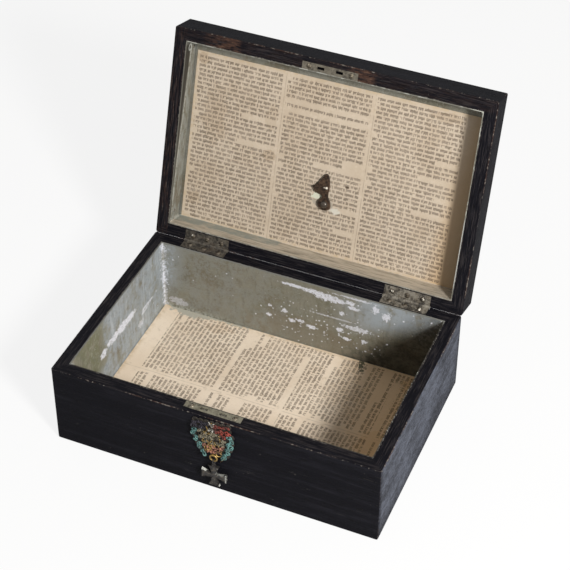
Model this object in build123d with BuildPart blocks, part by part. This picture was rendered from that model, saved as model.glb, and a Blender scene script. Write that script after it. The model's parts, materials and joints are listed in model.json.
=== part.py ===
from build123d import *
from math import cos, radians, sin
import os

# A black-stained wooden humidor with mitred corners, sheet-metal linings, printed paper
# on its floor and in its lid, two butt hinges, a hook lock and a wire ornament that
# hangs over the keyhole. Millimetres: X to the right, Y to the back, Z up, and the
# origin at the centre of the underside. The lid stands open at its stop.

os.makedirs("parts", exist_ok=True)

# Wooden box and lid
box_width = 260.0
box_depth = 174.0
body_height = 71.8
lid_height = 24.9
wall_thickness = 10.0
base_thickness = 5.5
base_rebate = 4.0
lid_board_thickness = 5.0
rim_gap = 0.1
open_angle = 107.0
corner_round = 1.7
foot_round = 1.6
foot_end_round = 3.6
rim_round = 0.5
lid_back_round = 4.4
lid_edge_round = 1.2
lid_end_round = 1.0

# Sheet-metal linings, the papers glued on them and the nails of the lid's lining
lining_thickness = 0.7
lining_corner_round = 1.5
paper_thickness = 0.25
floor_paper_margin = 0.8
lid_paper_side_margin = 2.0
lid_paper_back_margin = 0.5
lid_paper_front_margin = 10.8
nail_head_radius = 1.3
nail_head_thickness = 0.5
nail_shank_radius = 0.6
nail_length = 6.0
front_nail_inset = 18.0
front_nail_depth = 14.3
back_nail_inset = 18.7
back_nail_depth = 7.8

# Butt hinges
hinge_length = 37.8
hinge_inset = 45.0
leaf_reach = 9.0
leaf_thickness = 1.2
barrel_radius = 1.7
pin_radius = 0.85
pin_head_radius = 1.25
pin_head_length = 0.6
running_clearance = 0.05
knuckle_count = 7
knuckle_side_clearance = 0.08
knuckle_clearance = 0.15
barrel_groove_clearance = 0.35
leaf_screw_spacing = 12.4
leaf_screw_setback = 4.6

# Countersunk wood screws
leaf_screw_head_radius = 2.2
plate_screw_head_radius = 2.1
screw_shank_radius = 1.0
screw_length = 7.0
screw_point_length = 1.6

# Lock in the front wall and its strike plate in the lid
lock_centre = -1.2
plate_length = 45.0
plate_width = 6.0
plate_thickness = 1.2
plate_screw_spacing = 34.0
slot_spacing = 15.0
slot_length = 6.0
slot_width = 2.2
case_length = 28.0
case_height = 24.0
case_wall = 1.4
bolt_thickness = 1.6
bolt_side_clearance = 0.3
bolt_top_clearance = 0.1
hook_width = 2.4
hook_offset = 2.1
hook_nose_reach = 1.1
hook_nose_height = 1.4
hook_neck_height = 4.0
bolt_bar_height = 3.2
bolt_bar_length = 19.4
lift_gap = 0.1
lift_bar_height = 3.2
lift_width = 16.0
lift_leg_width = 3.0
lift_height = 11.0
strike_pocket_height = 4.6
strike_pocket_length = 25.0
keyhole_drop = 17.0
keyhole_radius = 2.1
keyhole_slot_width = 1.8
keyhole_slot_length = 6.5
key_post_radius = 0.9

# Swivel clip riveted inside the lid
clip_x = 3.0
clip_y = 33.6
clip_eye_radius = 5.3
clip_thickness = 1.6
clip_collar_height = 1.0
clip_collar_radius = 3.2
clip_rivet_radius = 1.6
clip_rivet_head_radius = 3.0
clip_rivet_head_height = 1.7
clip_rivet_shoulder_radius = 2.16
clip_rivet_shoulder_height = 1.19
clip_rivet_depth = 4.0
clip_play = 0.1
clip_neck_half_width = 2.6
clip_neck_length = 8.0
clip_bulge = 3.3
clip_bulge_length = 13.4
clip_nib = 1.9
clip_nib_length = 18.8
clip_tip_bulge = 0.8
clip_tip_bulge_length = 22.4
clip_tip = 1.2
clip_tip_length = 25.0
clip_flank = 4.9
clip_flank_length = 19.0
clip_hollow = 7.4
clip_hollow_length = 15.6
clip_wing = 11.3
clip_wing_length = 13.4
clip_lobe = 11.7
clip_lobe_length = 10.2
clip_heel = 9.0
clip_heel_length = 8.0
clip_ridge_height = 1.1
clip_ridge_inset = 1.4
clip_ridge_taper = 35.0

# Wire ornament that hangs from a pin in the front wall
ornament_x = 0.9
ornament_pin_drop = 3.5
ornament_tilt = 3.5
ornament_clearance = 0.3
backing_thickness = 0.8
ornament_pin_radius = 0.7
ornament_pin_head_radius = 0.85
ornament_pin_head_height = 0.7
ornament_pin_depth = 3.0
loop_pitch = 4.35
loop_row_pitch = 4.4
loop_radius = 2.05
loop_hole_radius = 1.05
loop_height = 1.6
scroll_radius = 2.9
scroll_hole_radius = 1.4
scroll_height = 1.9
scroll_pitch = 6.5
scroll_count = 4
scroll_start_reach = 14.3
scroll_start_drop = 9.9
scroll_lean = 5.0
scroll_bend = 9.0
backing_margin = 0.2
backing_width = 24.4
backing_foot_width = 17.0
backing_top_drop = 4.0
backing_taper_drop = 17.0
backing_foot_drop = 29.5
backing_tab_width = 3.6
backing_tab_height = 2.1

# Eye, jump ring and cross under the ornament
eye_drop = 32.3
eye_radius = 2.7
eye_wire_radius = 0.7
eye_bead_length = 1.5
eye_bead_radius = 0.75
eye_neck_height = 1.0
ring_radius = 2.6
ring_wire_radius = 0.45
ring_play = 0.1
cross_eye_hole_radius = 0.8
cross_eye_radius = 1.5
cross_eye_thickness = 0.8
cross_eye_play = 0.05
cross_size = 19.6
cross_end_width = 8.8
cross_waist = 3.6
cross_thickness = 1.8
cross_core_thickness = 1.2
cross_rim_width = 0.9
cross_waist_inset_share = 0.55
cross_flare_reach_share = 0.45
cross_flare_width_share = 0.22

# Sizes that follow from the ones above
inner_width = box_width - 2 * wall_thickness
inner_depth = box_depth - 2 * wall_thickness
rail_height = lid_height - lid_board_thickness
hinge_height = body_height + rim_gap / 2
hinge_back = box_depth / 2
plate_y = -inner_depth / 2 - plate_width / 2
front_y = -box_depth / 2
ornament_pin_height = body_height - ornament_pin_drop
knuckle_length = hinge_length / knuckle_count

# The lid's own frame: sketch coordinates on lid_rim are those of the closed box
lid_up = Vector(0, sin(radians(open_angle)), cos(radians(open_angle)))
hinge_frame = Plane(origin=(0, hinge_back, hinge_height), x_dir=(1, 0, 0), z_dir=lid_up)
lid_rim = Plane(
    origin=hinge_frame.from_local_coords(Vector(0, -hinge_back, rim_gap / 2)), x_dir=(1, 0, 0), z_dir=lid_up
)
body_rim = Plane.XY.offset(body_height)


def across(plane, x, y, z, direction):
    """A plane at a point of another plane's coordinates, facing one of its directions"""
    facing = {"right": plane.x_dir, "left": -plane.x_dir, "back": plane.y_dir, "down": -plane.z_dir}[direction]
    sideways = plane.y_dir if direction in ("right", "left") else plane.x_dir
    return Plane(origin=plane.from_local_coords(Vector(x, y, z)), x_dir=sideways, z_dir=facing)


def add_countersunk_screws(plane, places, head_radius, head_height):
    """Screws that go down into a plane at the given places, with their heads flush with it"""
    for x, y in places:
        with BuildSketch(across(plane, x, y, 0, "back")) as profile:
            with BuildLine():
                Polyline(
                    (0, 0),
                    (head_radius, 0),
                    (screw_shank_radius, head_height),
                    (screw_shank_radius, screw_length - screw_point_length),
                    (0, screw_length),
                    close=True,
                )
            make_face()
        axis = Axis(plane.from_local_coords(Vector(x, y, 0)), plane.z_dir)
        revolve(profile.sketch, axis=axis)


# Hinges: each leaf is drawn in the frame of its pin, and the lid's frame is turned over

def pin_frame(x, lid_side):
    """The frame on a hinge's pin, with the leaf along its -Y and below its XY plane"""
    if lid_side:
        return Plane(origin=(x, hinge_back, hinge_height), x_dir=(-1, 0, 0), z_dir=-lid_up)
    return Plane(origin=(x, hinge_back, hinge_height), x_dir=(1, 0, 0), z_dir=(0, 0, 1))


def add_leaf(frame, own_knuckles, bore_radius):
    """A hinge leaf with its rolled knuckles and three countersunk holes"""
    with BuildSketch(frame.offset(-rim_gap / 2)) as flat:
        with Locations((0, -leaf_reach / 2)):
            Rectangle(hinge_length, leaf_reach)
    extrude(flat.sketch, amount=-leaf_thickness)
    with BuildSketch(across(frame, -hinge_length / 2, 0, 0, "right")) as barrel:
        Circle(barrel_radius + knuckle_clearance)
    extrude(barrel.sketch, amount=hinge_length, mode=Mode.SUBTRACT)
    root_length = barrel_radius + 2 * knuckle_clearance
    for number in own_knuckles:
        start = -hinge_length / 2 + number * knuckle_length + knuckle_side_clearance
        with BuildSketch(across(frame, start, 0, 0, "right")) as knuckle:
            Circle(barrel_radius)
            with Locations((-root_length / 2, -rim_gap / 2 - leaf_thickness / 2)):
                Rectangle(root_length, leaf_thickness)
        extrude(knuckle.sketch, amount=knuckle_length - 2 * knuckle_side_clearance)
    with BuildSketch(across(frame, -hinge_length / 2, 0, 0, "right")) as bore:
        Circle(bore_radius)
    extrude(bore.sketch, amount=hinge_length, mode=Mode.SUBTRACT)


leaf_screw_places = [(step * leaf_screw_spacing, -leaf_screw_setback) for step in (-1, 0, 1)]
body_knuckles = range(0, knuckle_count, 2)
lid_knuckles = range(1, knuckle_count, 2)
hinge_places = {"left": -box_width / 2 + hinge_inset, "right": box_width / 2 - hinge_inset}
hinge_pieces = []

with BuildPart() as body_leaf_screws:
    for hinge_x in hinge_places.values():
        face = pin_frame(hinge_x, False).offset(-rim_gap / 2)
        add_countersunk_screws(face, leaf_screw_places, leaf_screw_head_radius, leaf_thickness)
body_leaf_screws.part.label = "body_leaf_screws"

with BuildPart() as lid_leaf_screws:
    for hinge_x in hinge_places.values():
        face = pin_frame(hinge_x, True).offset(-rim_gap / 2)
        add_countersunk_screws(face, leaf_screw_places, leaf_screw_head_radius, leaf_thickness)
lid_leaf_screws.part.label = "lid_leaf_screws"

for side, hinge_x in hinge_places.items():
    with BuildPart() as body_leaf:
        add_leaf(pin_frame(hinge_x, False), body_knuckles, pin_radius)
        add(body_leaf_screws.part, mode=Mode.SUBTRACT)
    body_leaf.part.label = f"{side}_hinge_body_leaf"

    with BuildPart() as lid_leaf:
        add_leaf(pin_frame(hinge_x, True), lid_knuckles, pin_radius + running_clearance)
        add(lid_leaf_screws.part, mode=Mode.SUBTRACT)
    lid_leaf.part.label = f"{side}_hinge_lid_leaf"

    with BuildPart() as hinge_pin:
        with BuildSketch(Plane(origin=(hinge_x - hinge_length / 2, hinge_back, hinge_height), z_dir=(1, 0, 0))):
            Circle(pin_radius)
        extrude(amount=hinge_length)
        for end_x, outward in ((-hinge_length / 2, -1), (hinge_length / 2, 1)):
            with BuildSketch(Plane(origin=(hinge_x + end_x, hinge_back, hinge_height), z_dir=(outward, 0, 0))):
                Circle(pin_head_radius)
            extrude(amount=pin_head_length, taper=20)
    hinge_pin.part.label = f"{side}_hinge_pin"
    hinge_pieces += [body_leaf.part, lid_leaf.part, hinge_pin.part]


def cut_leaf_recesses(lid_side):
    """Shallow mortises for both hinges, with a groove for the barrels"""
    for x in hinge_places.values():
        frame = pin_frame(x, lid_side)
        with BuildSketch(frame.offset(-rim_gap / 2)) as flat:
            with Locations((0, -leaf_reach / 2)):
                Rectangle(hinge_length, leaf_reach)
        extrude(flat.sketch, amount=-leaf_thickness, mode=Mode.SUBTRACT)
        groove_length = hinge_length + 2 * pin_head_length + 2 * knuckle_clearance
        with BuildSketch(across(frame, -groove_length / 2, 0, 0, "right")) as groove:
            Circle(barrel_radius + barrel_groove_clearance)
        extrude(groove.sketch, amount=groove_length, mode=Mode.SUBTRACT)


# Lock: a plate let into the rim, a case behind it, and in the case a bolt with two hooks that the
# key lifts through the slots and then shifts sideways over the strike plate

plate_screw_places = [(lock_centre + step * plate_screw_spacing / 2, plate_y) for step in (-1, 1)]
case_gap = bolt_thickness + 2 * bolt_side_clearance
hook_top = body_height - plate_thickness - bolt_top_clearance
bar_top = hook_top - hook_nose_height - hook_neck_height
lift_top = bar_top - bolt_bar_height - lift_gap
bolt_face = Plane(origin=(lock_centre, plate_y - bolt_thickness / 2, 0), x_dir=(-1, 0, 0), z_dir=(0, 1, 0))
lid_rim_under = Plane(origin=lid_rim.origin, x_dir=(1, 0, 0), z_dir=-lid_up)

with BuildPart() as lock_screws:
    add_countersunk_screws(body_rim, plate_screw_places, plate_screw_head_radius, plate_thickness)
lock_screws.part.label = "lock_screws"

with BuildPart() as strike_screws:
    mirrored_places = [(x, -y) for x, y in plate_screw_places]
    add_countersunk_screws(lid_rim_under, mirrored_places, plate_screw_head_radius, plate_thickness)
strike_screws.part.label = "strike_screws"


def add_slotted_plate(plane):
    """The long plate with two slots that both halves of the lock show on the rim"""
    with BuildSketch(plane) as outline:
        with Locations((lock_centre, plate_y)):
            Rectangle(plate_length, plate_width)
        with Locations((lock_centre - slot_spacing / 2, plate_y), (lock_centre + slot_spacing / 2, plate_y)):
            Rectangle(slot_length, slot_width, mode=Mode.SUBTRACT)
    extrude(outline.sketch, amount=plate_thickness)


with BuildPart() as lock_plate:
    add_slotted_plate(body_rim.offset(-plate_thickness))
    add(lock_screws.part, mode=Mode.SUBTRACT)
lock_plate.part.label = "lock_plate"

with BuildPart() as strike_plate:
    add_slotted_plate(lid_rim)
    add(strike_screws.part, mode=Mode.SUBTRACT)
strike_plate.part.label = "strike_plate"

with BuildPart() as lock_case:
    with BuildSketch(body_rim.offset(-plate_thickness)):
        with Locations((lock_centre, plate_y)):
            Rectangle(case_length, plate_width)
    extrude(amount=-case_height)
    with BuildSketch(body_rim.offset(-plate_thickness)):
        with Locations((lock_centre, plate_y)):
            Rectangle(case_length - 2 * case_wall, case_gap)
    extrude(amount=case_wall - case_height, mode=Mode.SUBTRACT)
    keyhole_height = body_height - keyhole_drop
    with BuildSketch(Plane(origin=(lock_centre, plate_y, keyhole_height), x_dir=(1, 0, 0), z_dir=(0, -1, 0))):
        Circle(keyhole_radius)
        with Locations((0, -keyhole_slot_length / 2)):
            Rectangle(keyhole_slot_width, keyhole_slot_length)
    extrude(amount=plate_width / 2, mode=Mode.SUBTRACT)
    cavity_back = plate_y + case_gap / 2
    with BuildSketch(Plane(origin=(lock_centre, cavity_back, keyhole_height), x_dir=(1, 0, 0), z_dir=(0, -1, 0))):
        Circle(key_post_radius)
    extrude(amount=case_gap / 2 + plate_width / 2)
lock_case.part.label = "lock_case"


with BuildPart() as hook_bolt:
    with BuildSketch(bolt_face):
        with Locations((0, bar_top - bolt_bar_height / 2)):
            Rectangle(bolt_bar_length, bolt_bar_height)
        for slot_middle in (-slot_spacing / 2, slot_spacing / 2):
            hook_left = slot_middle - hook_offset
            hook_side = hook_left + hook_width
            with Locations((hook_left + hook_width / 2, (hook_top + bar_top) / 2)):
                Rectangle(hook_width, hook_top - bar_top)
            with Locations((hook_side + hook_nose_reach / 2, hook_top - hook_nose_height / 2)):
                Rectangle(hook_nose_reach, hook_nose_height)
    extrude(amount=bolt_thickness)
hook_bolt.part.label = "hook_bolt"

with BuildPart() as lift_plate:
    with BuildSketch(bolt_face):
        with Locations((0, lift_top - lift_height / 2)):
            Rectangle(lift_width, lift_height)
        with Locations((0, lift_top - lift_bar_height - lift_height / 2)):
            Rectangle(lift_width - 2 * lift_leg_width, lift_height, mode=Mode.SUBTRACT)
    extrude(amount=bolt_thickness)
lift_plate.part.label = "lift_plate"


# Wooden walls, mitred at the corners

def mitre_region(side):
    """The part of the plan that belongs to one wall, bounded by the mitre lines"""
    out_x = box_width / 2 + wall_thickness
    out_y = box_depth / 2 + wall_thickness
    in_x = inner_width / 2 - wall_thickness
    in_y = inner_depth / 2 - wall_thickness
    regions = {
        "front": [(-out_x, -out_y), (out_x, -out_y), (in_x, -in_y), (-in_x, -in_y)],
        "back": [(-in_x, in_y), (in_x, in_y), (out_x, out_y), (-out_x, out_y)],
        "left": [(-out_x, -out_y), (-in_x, -in_y), (-in_x, in_y), (-out_x, out_y)],
        "right": [(in_x, -in_y), (out_x, -out_y), (out_x, out_y), (in_x, in_y)],
    }
    return regions[side]


def outer_edges(plane, level):
    """The part's edges on the outside of the box, at a height above a plane"""
    found = []
    for edge in edges():
        middle = plane.to_local_coords(edge.center())
        outside = abs(middle.X) > box_width / 2 - corner_round or abs(middle.Y) > box_depth / 2 - corner_round
        if outside and abs(middle.Z - level) < rim_gap / 2:
            found.append(edge)
    return found


def add_mitred_wall(side, plane, height, low_round, high_round):
    """One wall of a rounded box frame, with its outer arrises worn round where they are not hinged"""
    with BuildSketch(plane) as plan:
        RectangleRounded(box_width, box_depth, corner_round)
        Rectangle(inner_width, inner_depth, mode=Mode.SUBTRACT)
        Polygon(*mitre_region(side), align=None, mode=Mode.INTERSECT)
    extrude(plan.sketch, amount=height)
    for level, rounding in ((0, low_round), (height, high_round)):
        if rounding:
            fillet(outer_edges(plane, level), rounding)


def finish_foot():
    """Rounder bottom edges at the box's two ends, and the step inside the foot that takes the base board"""
    with BuildSketch(Plane.XZ.offset(-box_depth / 2)) as profile:
        with Locations((0, body_height / 2)):
            Rectangle(box_width, body_height)
        fillet(vertices().group_by(Axis.Y)[0], foot_end_round)
    extrude(profile.sketch, amount=box_depth, mode=Mode.INTERSECT)
    with BuildSketch(Plane.XY) as rebate:
        Rectangle(inner_width + 2 * base_rebate, inner_depth + 2 * base_rebate)
    extrude(rebate.sketch, amount=base_thickness, mode=Mode.SUBTRACT)


ornament_front = front_y - ornament_clearance
ornament_plane = Plane(
    origin=(ornament_x, ornament_front, ornament_pin_height),
    x_dir=(cos(radians(ornament_tilt)), 0, sin(radians(ornament_tilt))),
    z_dir=(0, -1, 0),
)

with BuildPart() as ornament_pin:
    with BuildSketch(ornament_plane.offset(-ornament_clearance - ornament_pin_depth)):
        Circle(ornament_pin_radius)
    pin_reach = ornament_clearance + ornament_pin_depth + backing_thickness + running_clearance
    extrude(amount=pin_reach)
    with BuildSketch(ornament_plane.offset(backing_thickness + running_clearance)):
        Circle(ornament_pin_head_radius)
    extrude(amount=ornament_pin_head_height, taper=15)
ornament_pin.part.label = "ornament_pin"

with BuildPart() as front_wall:
    add_mitred_wall("front", Plane.XY, body_height, foot_round, rim_round)
    finish_foot()
    with BuildSketch(body_rim):
        with Locations((lock_centre, plate_y)):
            Rectangle(plate_length, plate_width)
    extrude(amount=-plate_thickness, mode=Mode.SUBTRACT)
    with BuildSketch(body_rim):
        with Locations((lock_centre, plate_y)):
            Rectangle(case_length, plate_width)
    extrude(amount=-plate_thickness - case_height, mode=Mode.SUBTRACT)
    with BuildSketch(Plane(origin=(lock_centre, plate_y, keyhole_height), x_dir=(1, 0, 0), z_dir=(0, -1, 0))):
        Circle(keyhole_radius)
        with Locations((0, -keyhole_slot_length / 2)):
            Rectangle(keyhole_slot_width, keyhole_slot_length)
    extrude(amount=box_depth / 2 + plate_y, mode=Mode.SUBTRACT)
    add(lock_screws.part, mode=Mode.SUBTRACT)
    add(ornament_pin.part, mode=Mode.SUBTRACT)
front_wall.part.label = "front_wall"

with BuildPart() as back_wall:
    add_mitred_wall("back", Plane.XY, body_height, foot_round, 0)
    finish_foot()
    cut_leaf_recesses(False)
    add(body_leaf_screws.part, mode=Mode.SUBTRACT)
back_wall.part.label = "back_wall"

with BuildPart() as left_wall:
    add_mitred_wall("left", Plane.XY, body_height, foot_round, rim_round)
    finish_foot()
left_wall.part.label = "left_wall"

with BuildPart() as right_wall:
    add_mitred_wall("right", Plane.XY, body_height, foot_round, rim_round)
    finish_foot()
right_wall.part.label = "right_wall"

with BuildPart() as base_board:
    with BuildSketch(Plane.XY):
        Rectangle(inner_width + 2 * base_rebate, inner_depth + 2 * base_rebate)
    extrude(amount=base_thickness)
base_board.part.label = "base_board"

with BuildPart() as lid_front_rail:
    add_mitred_wall("front", lid_rim, rail_height, rim_round, 0)
    with BuildSketch(lid_rim):
        with Locations((lock_centre, plate_y)):
            Rectangle(plate_length, plate_width)
    extrude(amount=plate_thickness, mode=Mode.SUBTRACT)
    with BuildSketch(lid_rim.offset(plate_thickness)):
        with Locations((lock_centre, plate_y)):
            Rectangle(strike_pocket_length, case_gap)
    extrude(amount=strike_pocket_height, mode=Mode.SUBTRACT)
    add(strike_screws.part, mode=Mode.SUBTRACT)
lid_front_rail.part.label = "lid_front_rail"

with BuildPart() as lid_back_rail:
    add_mitred_wall("back", lid_rim, rail_height, 0, 0)
    cut_leaf_recesses(True)
    add(lid_leaf_screws.part, mode=Mode.SUBTRACT)
lid_back_rail.part.label = "lid_back_rail"

# Nails through the sides of the lid's lining, two on the left and two on the right

lining_face_x = inner_width / 2 - lining_thickness
nail_places = [
    (-box_depth / 2 + front_nail_inset, front_nail_depth),
    (box_depth / 2 - back_nail_inset, back_nail_depth),
]

with BuildPart() as lining_nails:
    for outward, inward, face_x in (("left", "right", -lining_face_x), ("right", "left", lining_face_x)):
        for y, height in nail_places:
            with BuildSketch(across(lid_rim, face_x, y, height, outward)):
                Circle(nail_shank_radius)
            extrude(amount=nail_length)
            with BuildSketch(across(lid_rim, face_x, y, height, inward)):
                Circle(nail_head_radius)
            extrude(amount=nail_head_thickness, taper=25)
lining_nails.part.label = "lining_nails"

with BuildPart() as lid_left_rail:
    add_mitred_wall("left", lid_rim, rail_height, rim_round, 0)
    add(lining_nails.part, mode=Mode.SUBTRACT)
lid_left_rail.part.label = "lid_left_rail"

with BuildPart() as lid_right_rail:
    add_mitred_wall("right", lid_rim, rail_height, rim_round, 0)
    add(lining_nails.part, mode=Mode.SUBTRACT)
lid_right_rail.part.label = "lid_right_rail"

# Swivel clip: a rivet with a collar, and a leaf-shaped blade that turns on it. Its plane lies on
# the lid's paper, faces out of the lid and has its Y towards the lid's front

paper_height = rail_height - lining_thickness - paper_thickness
clip_plane = across(lid_rim, clip_x, clip_y, paper_height, "down")
clip_blade_base = clip_collar_height + clip_play
clip_blade_top = clip_blade_base + clip_thickness
clip_head_base = clip_blade_top + clip_play

with BuildPart() as clip_rivet:
    with BuildSketch(clip_plane):
        Circle(clip_rivet_radius)
    extrude(amount=-lining_thickness - paper_thickness - clip_rivet_depth)
    with BuildSketch(clip_plane):
        Circle(clip_collar_radius)
    extrude(amount=clip_collar_height)
    with BuildSketch(clip_plane):
        Circle(clip_rivet_radius)
    extrude(amount=clip_head_base)
    with BuildSketch(across(clip_plane, 0, 0, clip_head_base, "back")):
        with BuildLine():
            dome = ThreePointArc(
                (0, -clip_rivet_head_height),
                (clip_rivet_shoulder_radius, -clip_rivet_shoulder_height),
                (clip_rivet_head_radius, 0),
            )
            Line(dome @ 1, (0, 0))
            Line((0, 0), dome @ 0)
        make_face()
    revolve(axis=Axis(clip_plane.origin, clip_plane.z_dir))
clip_rivet.part.label = "clip_rivet"

with BuildPart() as clip_arm:
    with BuildSketch(clip_plane.offset(clip_blade_base)):
        Circle(clip_eye_radius)
        with BuildLine():
            neck_right = Line((clip_neck_half_width, 0), (clip_neck_half_width, clip_neck_length))
            right_side = ThreePointArc(neck_right @ 1, (clip_bulge, clip_bulge_length), (clip_nib, clip_nib_length))
            tip_bulge = (clip_tip_bulge, clip_tip_bulge_length)
            tip_side = ThreePointArc(right_side @ 1, tip_bulge, (-clip_tip, clip_tip_length))
            flank = Line(tip_side @ 1, (-clip_flank, clip_flank_length))
            hollow = (-clip_hollow, clip_hollow_length)
            wing = ThreePointArc(flank @ 1, hollow, (-clip_wing, clip_wing_length))
            lobe = (-clip_lobe, clip_lobe_length)
            heel = ThreePointArc(wing @ 1, lobe, (-clip_heel, clip_heel_length))
            shoulder = Line(heel @ 1, (-clip_neck_half_width, clip_neck_length - clip_ridge_inset))
            neck_left = Line(shoulder @ 1, (-clip_neck_half_width, 0))
            Line(neck_left @ 1, neck_right @ 0)
        make_face()
        Circle(clip_rivet_radius + running_clearance, mode=Mode.SUBTRACT)
    extrude(amount=clip_thickness)
    with BuildSketch(clip_plane.offset(clip_blade_top)):
        with BuildLine():
            ridge_start = clip_neck_length + clip_ridge_inset
            ridge_top = (-clip_tip, clip_tip_length - 2 * clip_ridge_inset)
            ridge_bulge = (clip_bulge - clip_ridge_inset, clip_bulge_length)
            ridge_right = ThreePointArc((clip_ridge_inset, ridge_start), ridge_bulge, ridge_top)
            ridge_hollow = (-clip_flank, clip_bulge_length)
            ridge_left = ThreePointArc(ridge_right @ 1, ridge_hollow, (-clip_neck_half_width, ridge_start))
            Line(ridge_left @ 1, ridge_right @ 0)
        make_face()
    extrude(amount=clip_ridge_height, taper=clip_ridge_taper)
clip_arm.part.label = "clip_arm"

# Linings folded from sheet, with solder-filled inner corners, and the papers glued in

lining_width = inner_width - 2 * lining_thickness
lining_depth = inner_depth - 2 * lining_thickness

with BuildPart() as body_lining:
    with BuildSketch(Plane.XY.offset(base_thickness)):
        Rectangle(inner_width, inner_depth)
    extrude(amount=body_height - base_thickness)
    with BuildSketch(Plane.XY.offset(base_thickness + lining_thickness)):
        RectangleRounded(lining_width, lining_depth, lining_corner_round)
    extrude(amount=body_height - base_thickness - lining_thickness, mode=Mode.SUBTRACT)
body_lining.part.label = "body_lining"

with BuildPart() as lid_lining:
    with BuildSketch(lid_rim):
        Rectangle(inner_width, inner_depth)
    extrude(amount=rail_height)
    with BuildSketch(lid_rim):
        RectangleRounded(lining_width, lining_depth, lining_corner_round)
    extrude(amount=rail_height - lining_thickness, mode=Mode.SUBTRACT)
    add(clip_rivet.part, mode=Mode.SUBTRACT)
    add(lining_nails.part, mode=Mode.SUBTRACT)
lid_lining.part.label = "lid_lining"

with BuildPart() as floor_paper:
    with BuildSketch(Plane.XY.offset(base_thickness + lining_thickness)):
        Rectangle(lining_width - 2 * floor_paper_margin, lining_depth - 2 * floor_paper_margin)
    extrude(amount=paper_thickness)
floor_paper.part.label = "floor_paper"

with BuildPart() as lid_paper:
    paper_front = -lining_depth / 2 + lid_paper_front_margin
    paper_back = lining_depth / 2 - lid_paper_back_margin
    with BuildSketch(lid_rim.offset(paper_height)):
        with Locations((0, (paper_front + paper_back) / 2)):
            Rectangle(lining_width - 2 * lid_paper_side_margin, paper_back - paper_front)
    extrude(amount=paper_thickness)
    add(clip_rivet.part, mode=Mode.SUBTRACT)
lid_paper.part.label = "lid_paper"

with BuildPart() as lid_top:
    with BuildSketch(lid_rim.offset(rail_height)):
        RectangleRounded(box_width, box_depth, corner_round)
    extrude(amount=lid_board_thickness)
    with BuildSketch(across(lid_rim, -box_width / 2, 0, lid_height - lid_board_thickness / 2, "right")):
        Rectangle(box_depth, lid_board_thickness)
        top_corners = vertices().group_by(Axis.Y)[-1].sort_by(Axis.X)
        fillet(top_corners[0], lid_edge_round)
        fillet(top_corners[1], lid_back_round)
    extrude(amount=box_width, mode=Mode.INTERSECT)
    with BuildSketch(across(lid_rim, 0, -box_depth / 2, lid_height - lid_board_thickness / 2, "back")):
        Rectangle(box_width, lid_board_thickness)
        fillet(vertices().group_by(Axis.Y)[0], lid_end_round)
    extrude(amount=box_depth, mode=Mode.INTERSECT)
    add(clip_rivet.part, mode=Mode.SUBTRACT)
lid_top.part.label = "lid_top"

# Wire ornament: coloured loops and scrolls on a thin backing plate

loop_rows = {
    "dark": [(0, (-3, -2, -1)), (-1, (-3, -2, -1))],
    "white": [(0, (0,)), (-1, (0,))],
    "red": [(0, (1, 2, 3)), (-1, (1, 2, 3)), (-2, (2,))],
    "cream": [(-2, (-2, -1, 0, 1)), (-3, (-2, -1, 0, 1, 2)), (-4, (-1.5, -0.5, 0.5, 1.5))],
    "pink": [(-5, (-1.5, -0.5, 0.5, 1.5)), (-6, (-1, 0, 1))],
}


def loop_places(colour):
    """Centres of the loops of one colour, in the ornament's own plane"""
    return [(column * loop_pitch, row * loop_row_pitch) for row, columns in loop_rows[colour] for column in columns]


def scroll_places(side):
    """Centres of the scrolls down one side, along a gentle curve towards the bottom"""
    x = scroll_start_reach
    y = -scroll_start_drop
    heading = scroll_lean
    places = []
    for _ in range(scroll_count):
        places.append((side * x, y))
        x -= scroll_pitch * sin(radians(heading))
        y -= scroll_pitch * cos(radians(heading))
        heading += scroll_bend
    return places


all_scrolls = scroll_places(-1) + scroll_places(1)
all_loops = [place for colour in loop_rows for place in loop_places(colour)]
loop_plane = ornament_plane.offset(backing_thickness)

with BuildPart() as ornament_backing:
    with BuildSketch(ornament_plane):
        for place in all_loops:
            with Locations(place):
                Circle(loop_radius + backing_margin)
        for place in all_scrolls:
            with Locations(place):
                Circle(scroll_radius - backing_margin)
        Polygon(
            (-backing_width / 2, -backing_top_drop),
            (-backing_width / 2, -backing_taper_drop),
            (-backing_foot_width / 2, -backing_foot_drop),
            (backing_foot_width / 2, -backing_foot_drop),
            (backing_width / 2, -backing_taper_drop),
            (backing_width / 2, -backing_top_drop),
            align=None,
        )
        with Locations((0, -eye_drop + eye_radius)):
            Rectangle(backing_tab_width, backing_tab_height)
        Circle(ornament_pin_radius + running_clearance, mode=Mode.SUBTRACT)
    extrude(amount=backing_thickness)
ornament_backing.part.label = "ornament_backing"
ornament_pieces = [ornament_backing.part, ornament_pin.part]

for colour in loop_rows:
    open_loops = colour in ("dark", "white", "red")
    with BuildPart() as colour_loops:
        with BuildSketch(loop_plane):
            with Locations(*loop_places(colour)):
                Circle(loop_radius)
                if open_loops:
                    Circle(loop_hole_radius, mode=Mode.SUBTRACT)
        extrude(amount=loop_height)
    colour_loops.part.label = f"ornament_{colour}_loops"
    ornament_pieces.append(colour_loops.part)

with BuildPart() as ornament_scrolls:
    with BuildSketch(loop_plane):
        with Locations(*all_scrolls):
            Circle(scroll_radius)
            Circle(scroll_hole_radius, mode=Mode.SUBTRACT)
    extrude(amount=scroll_height)
ornament_scrolls.part.label = "ornament_scrolls"
ornament_pieces.append(ornament_scrolls.part)

# Pendant: an eye on the ornament, a jump ring through it and a cross that hangs plumb from the ring

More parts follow.
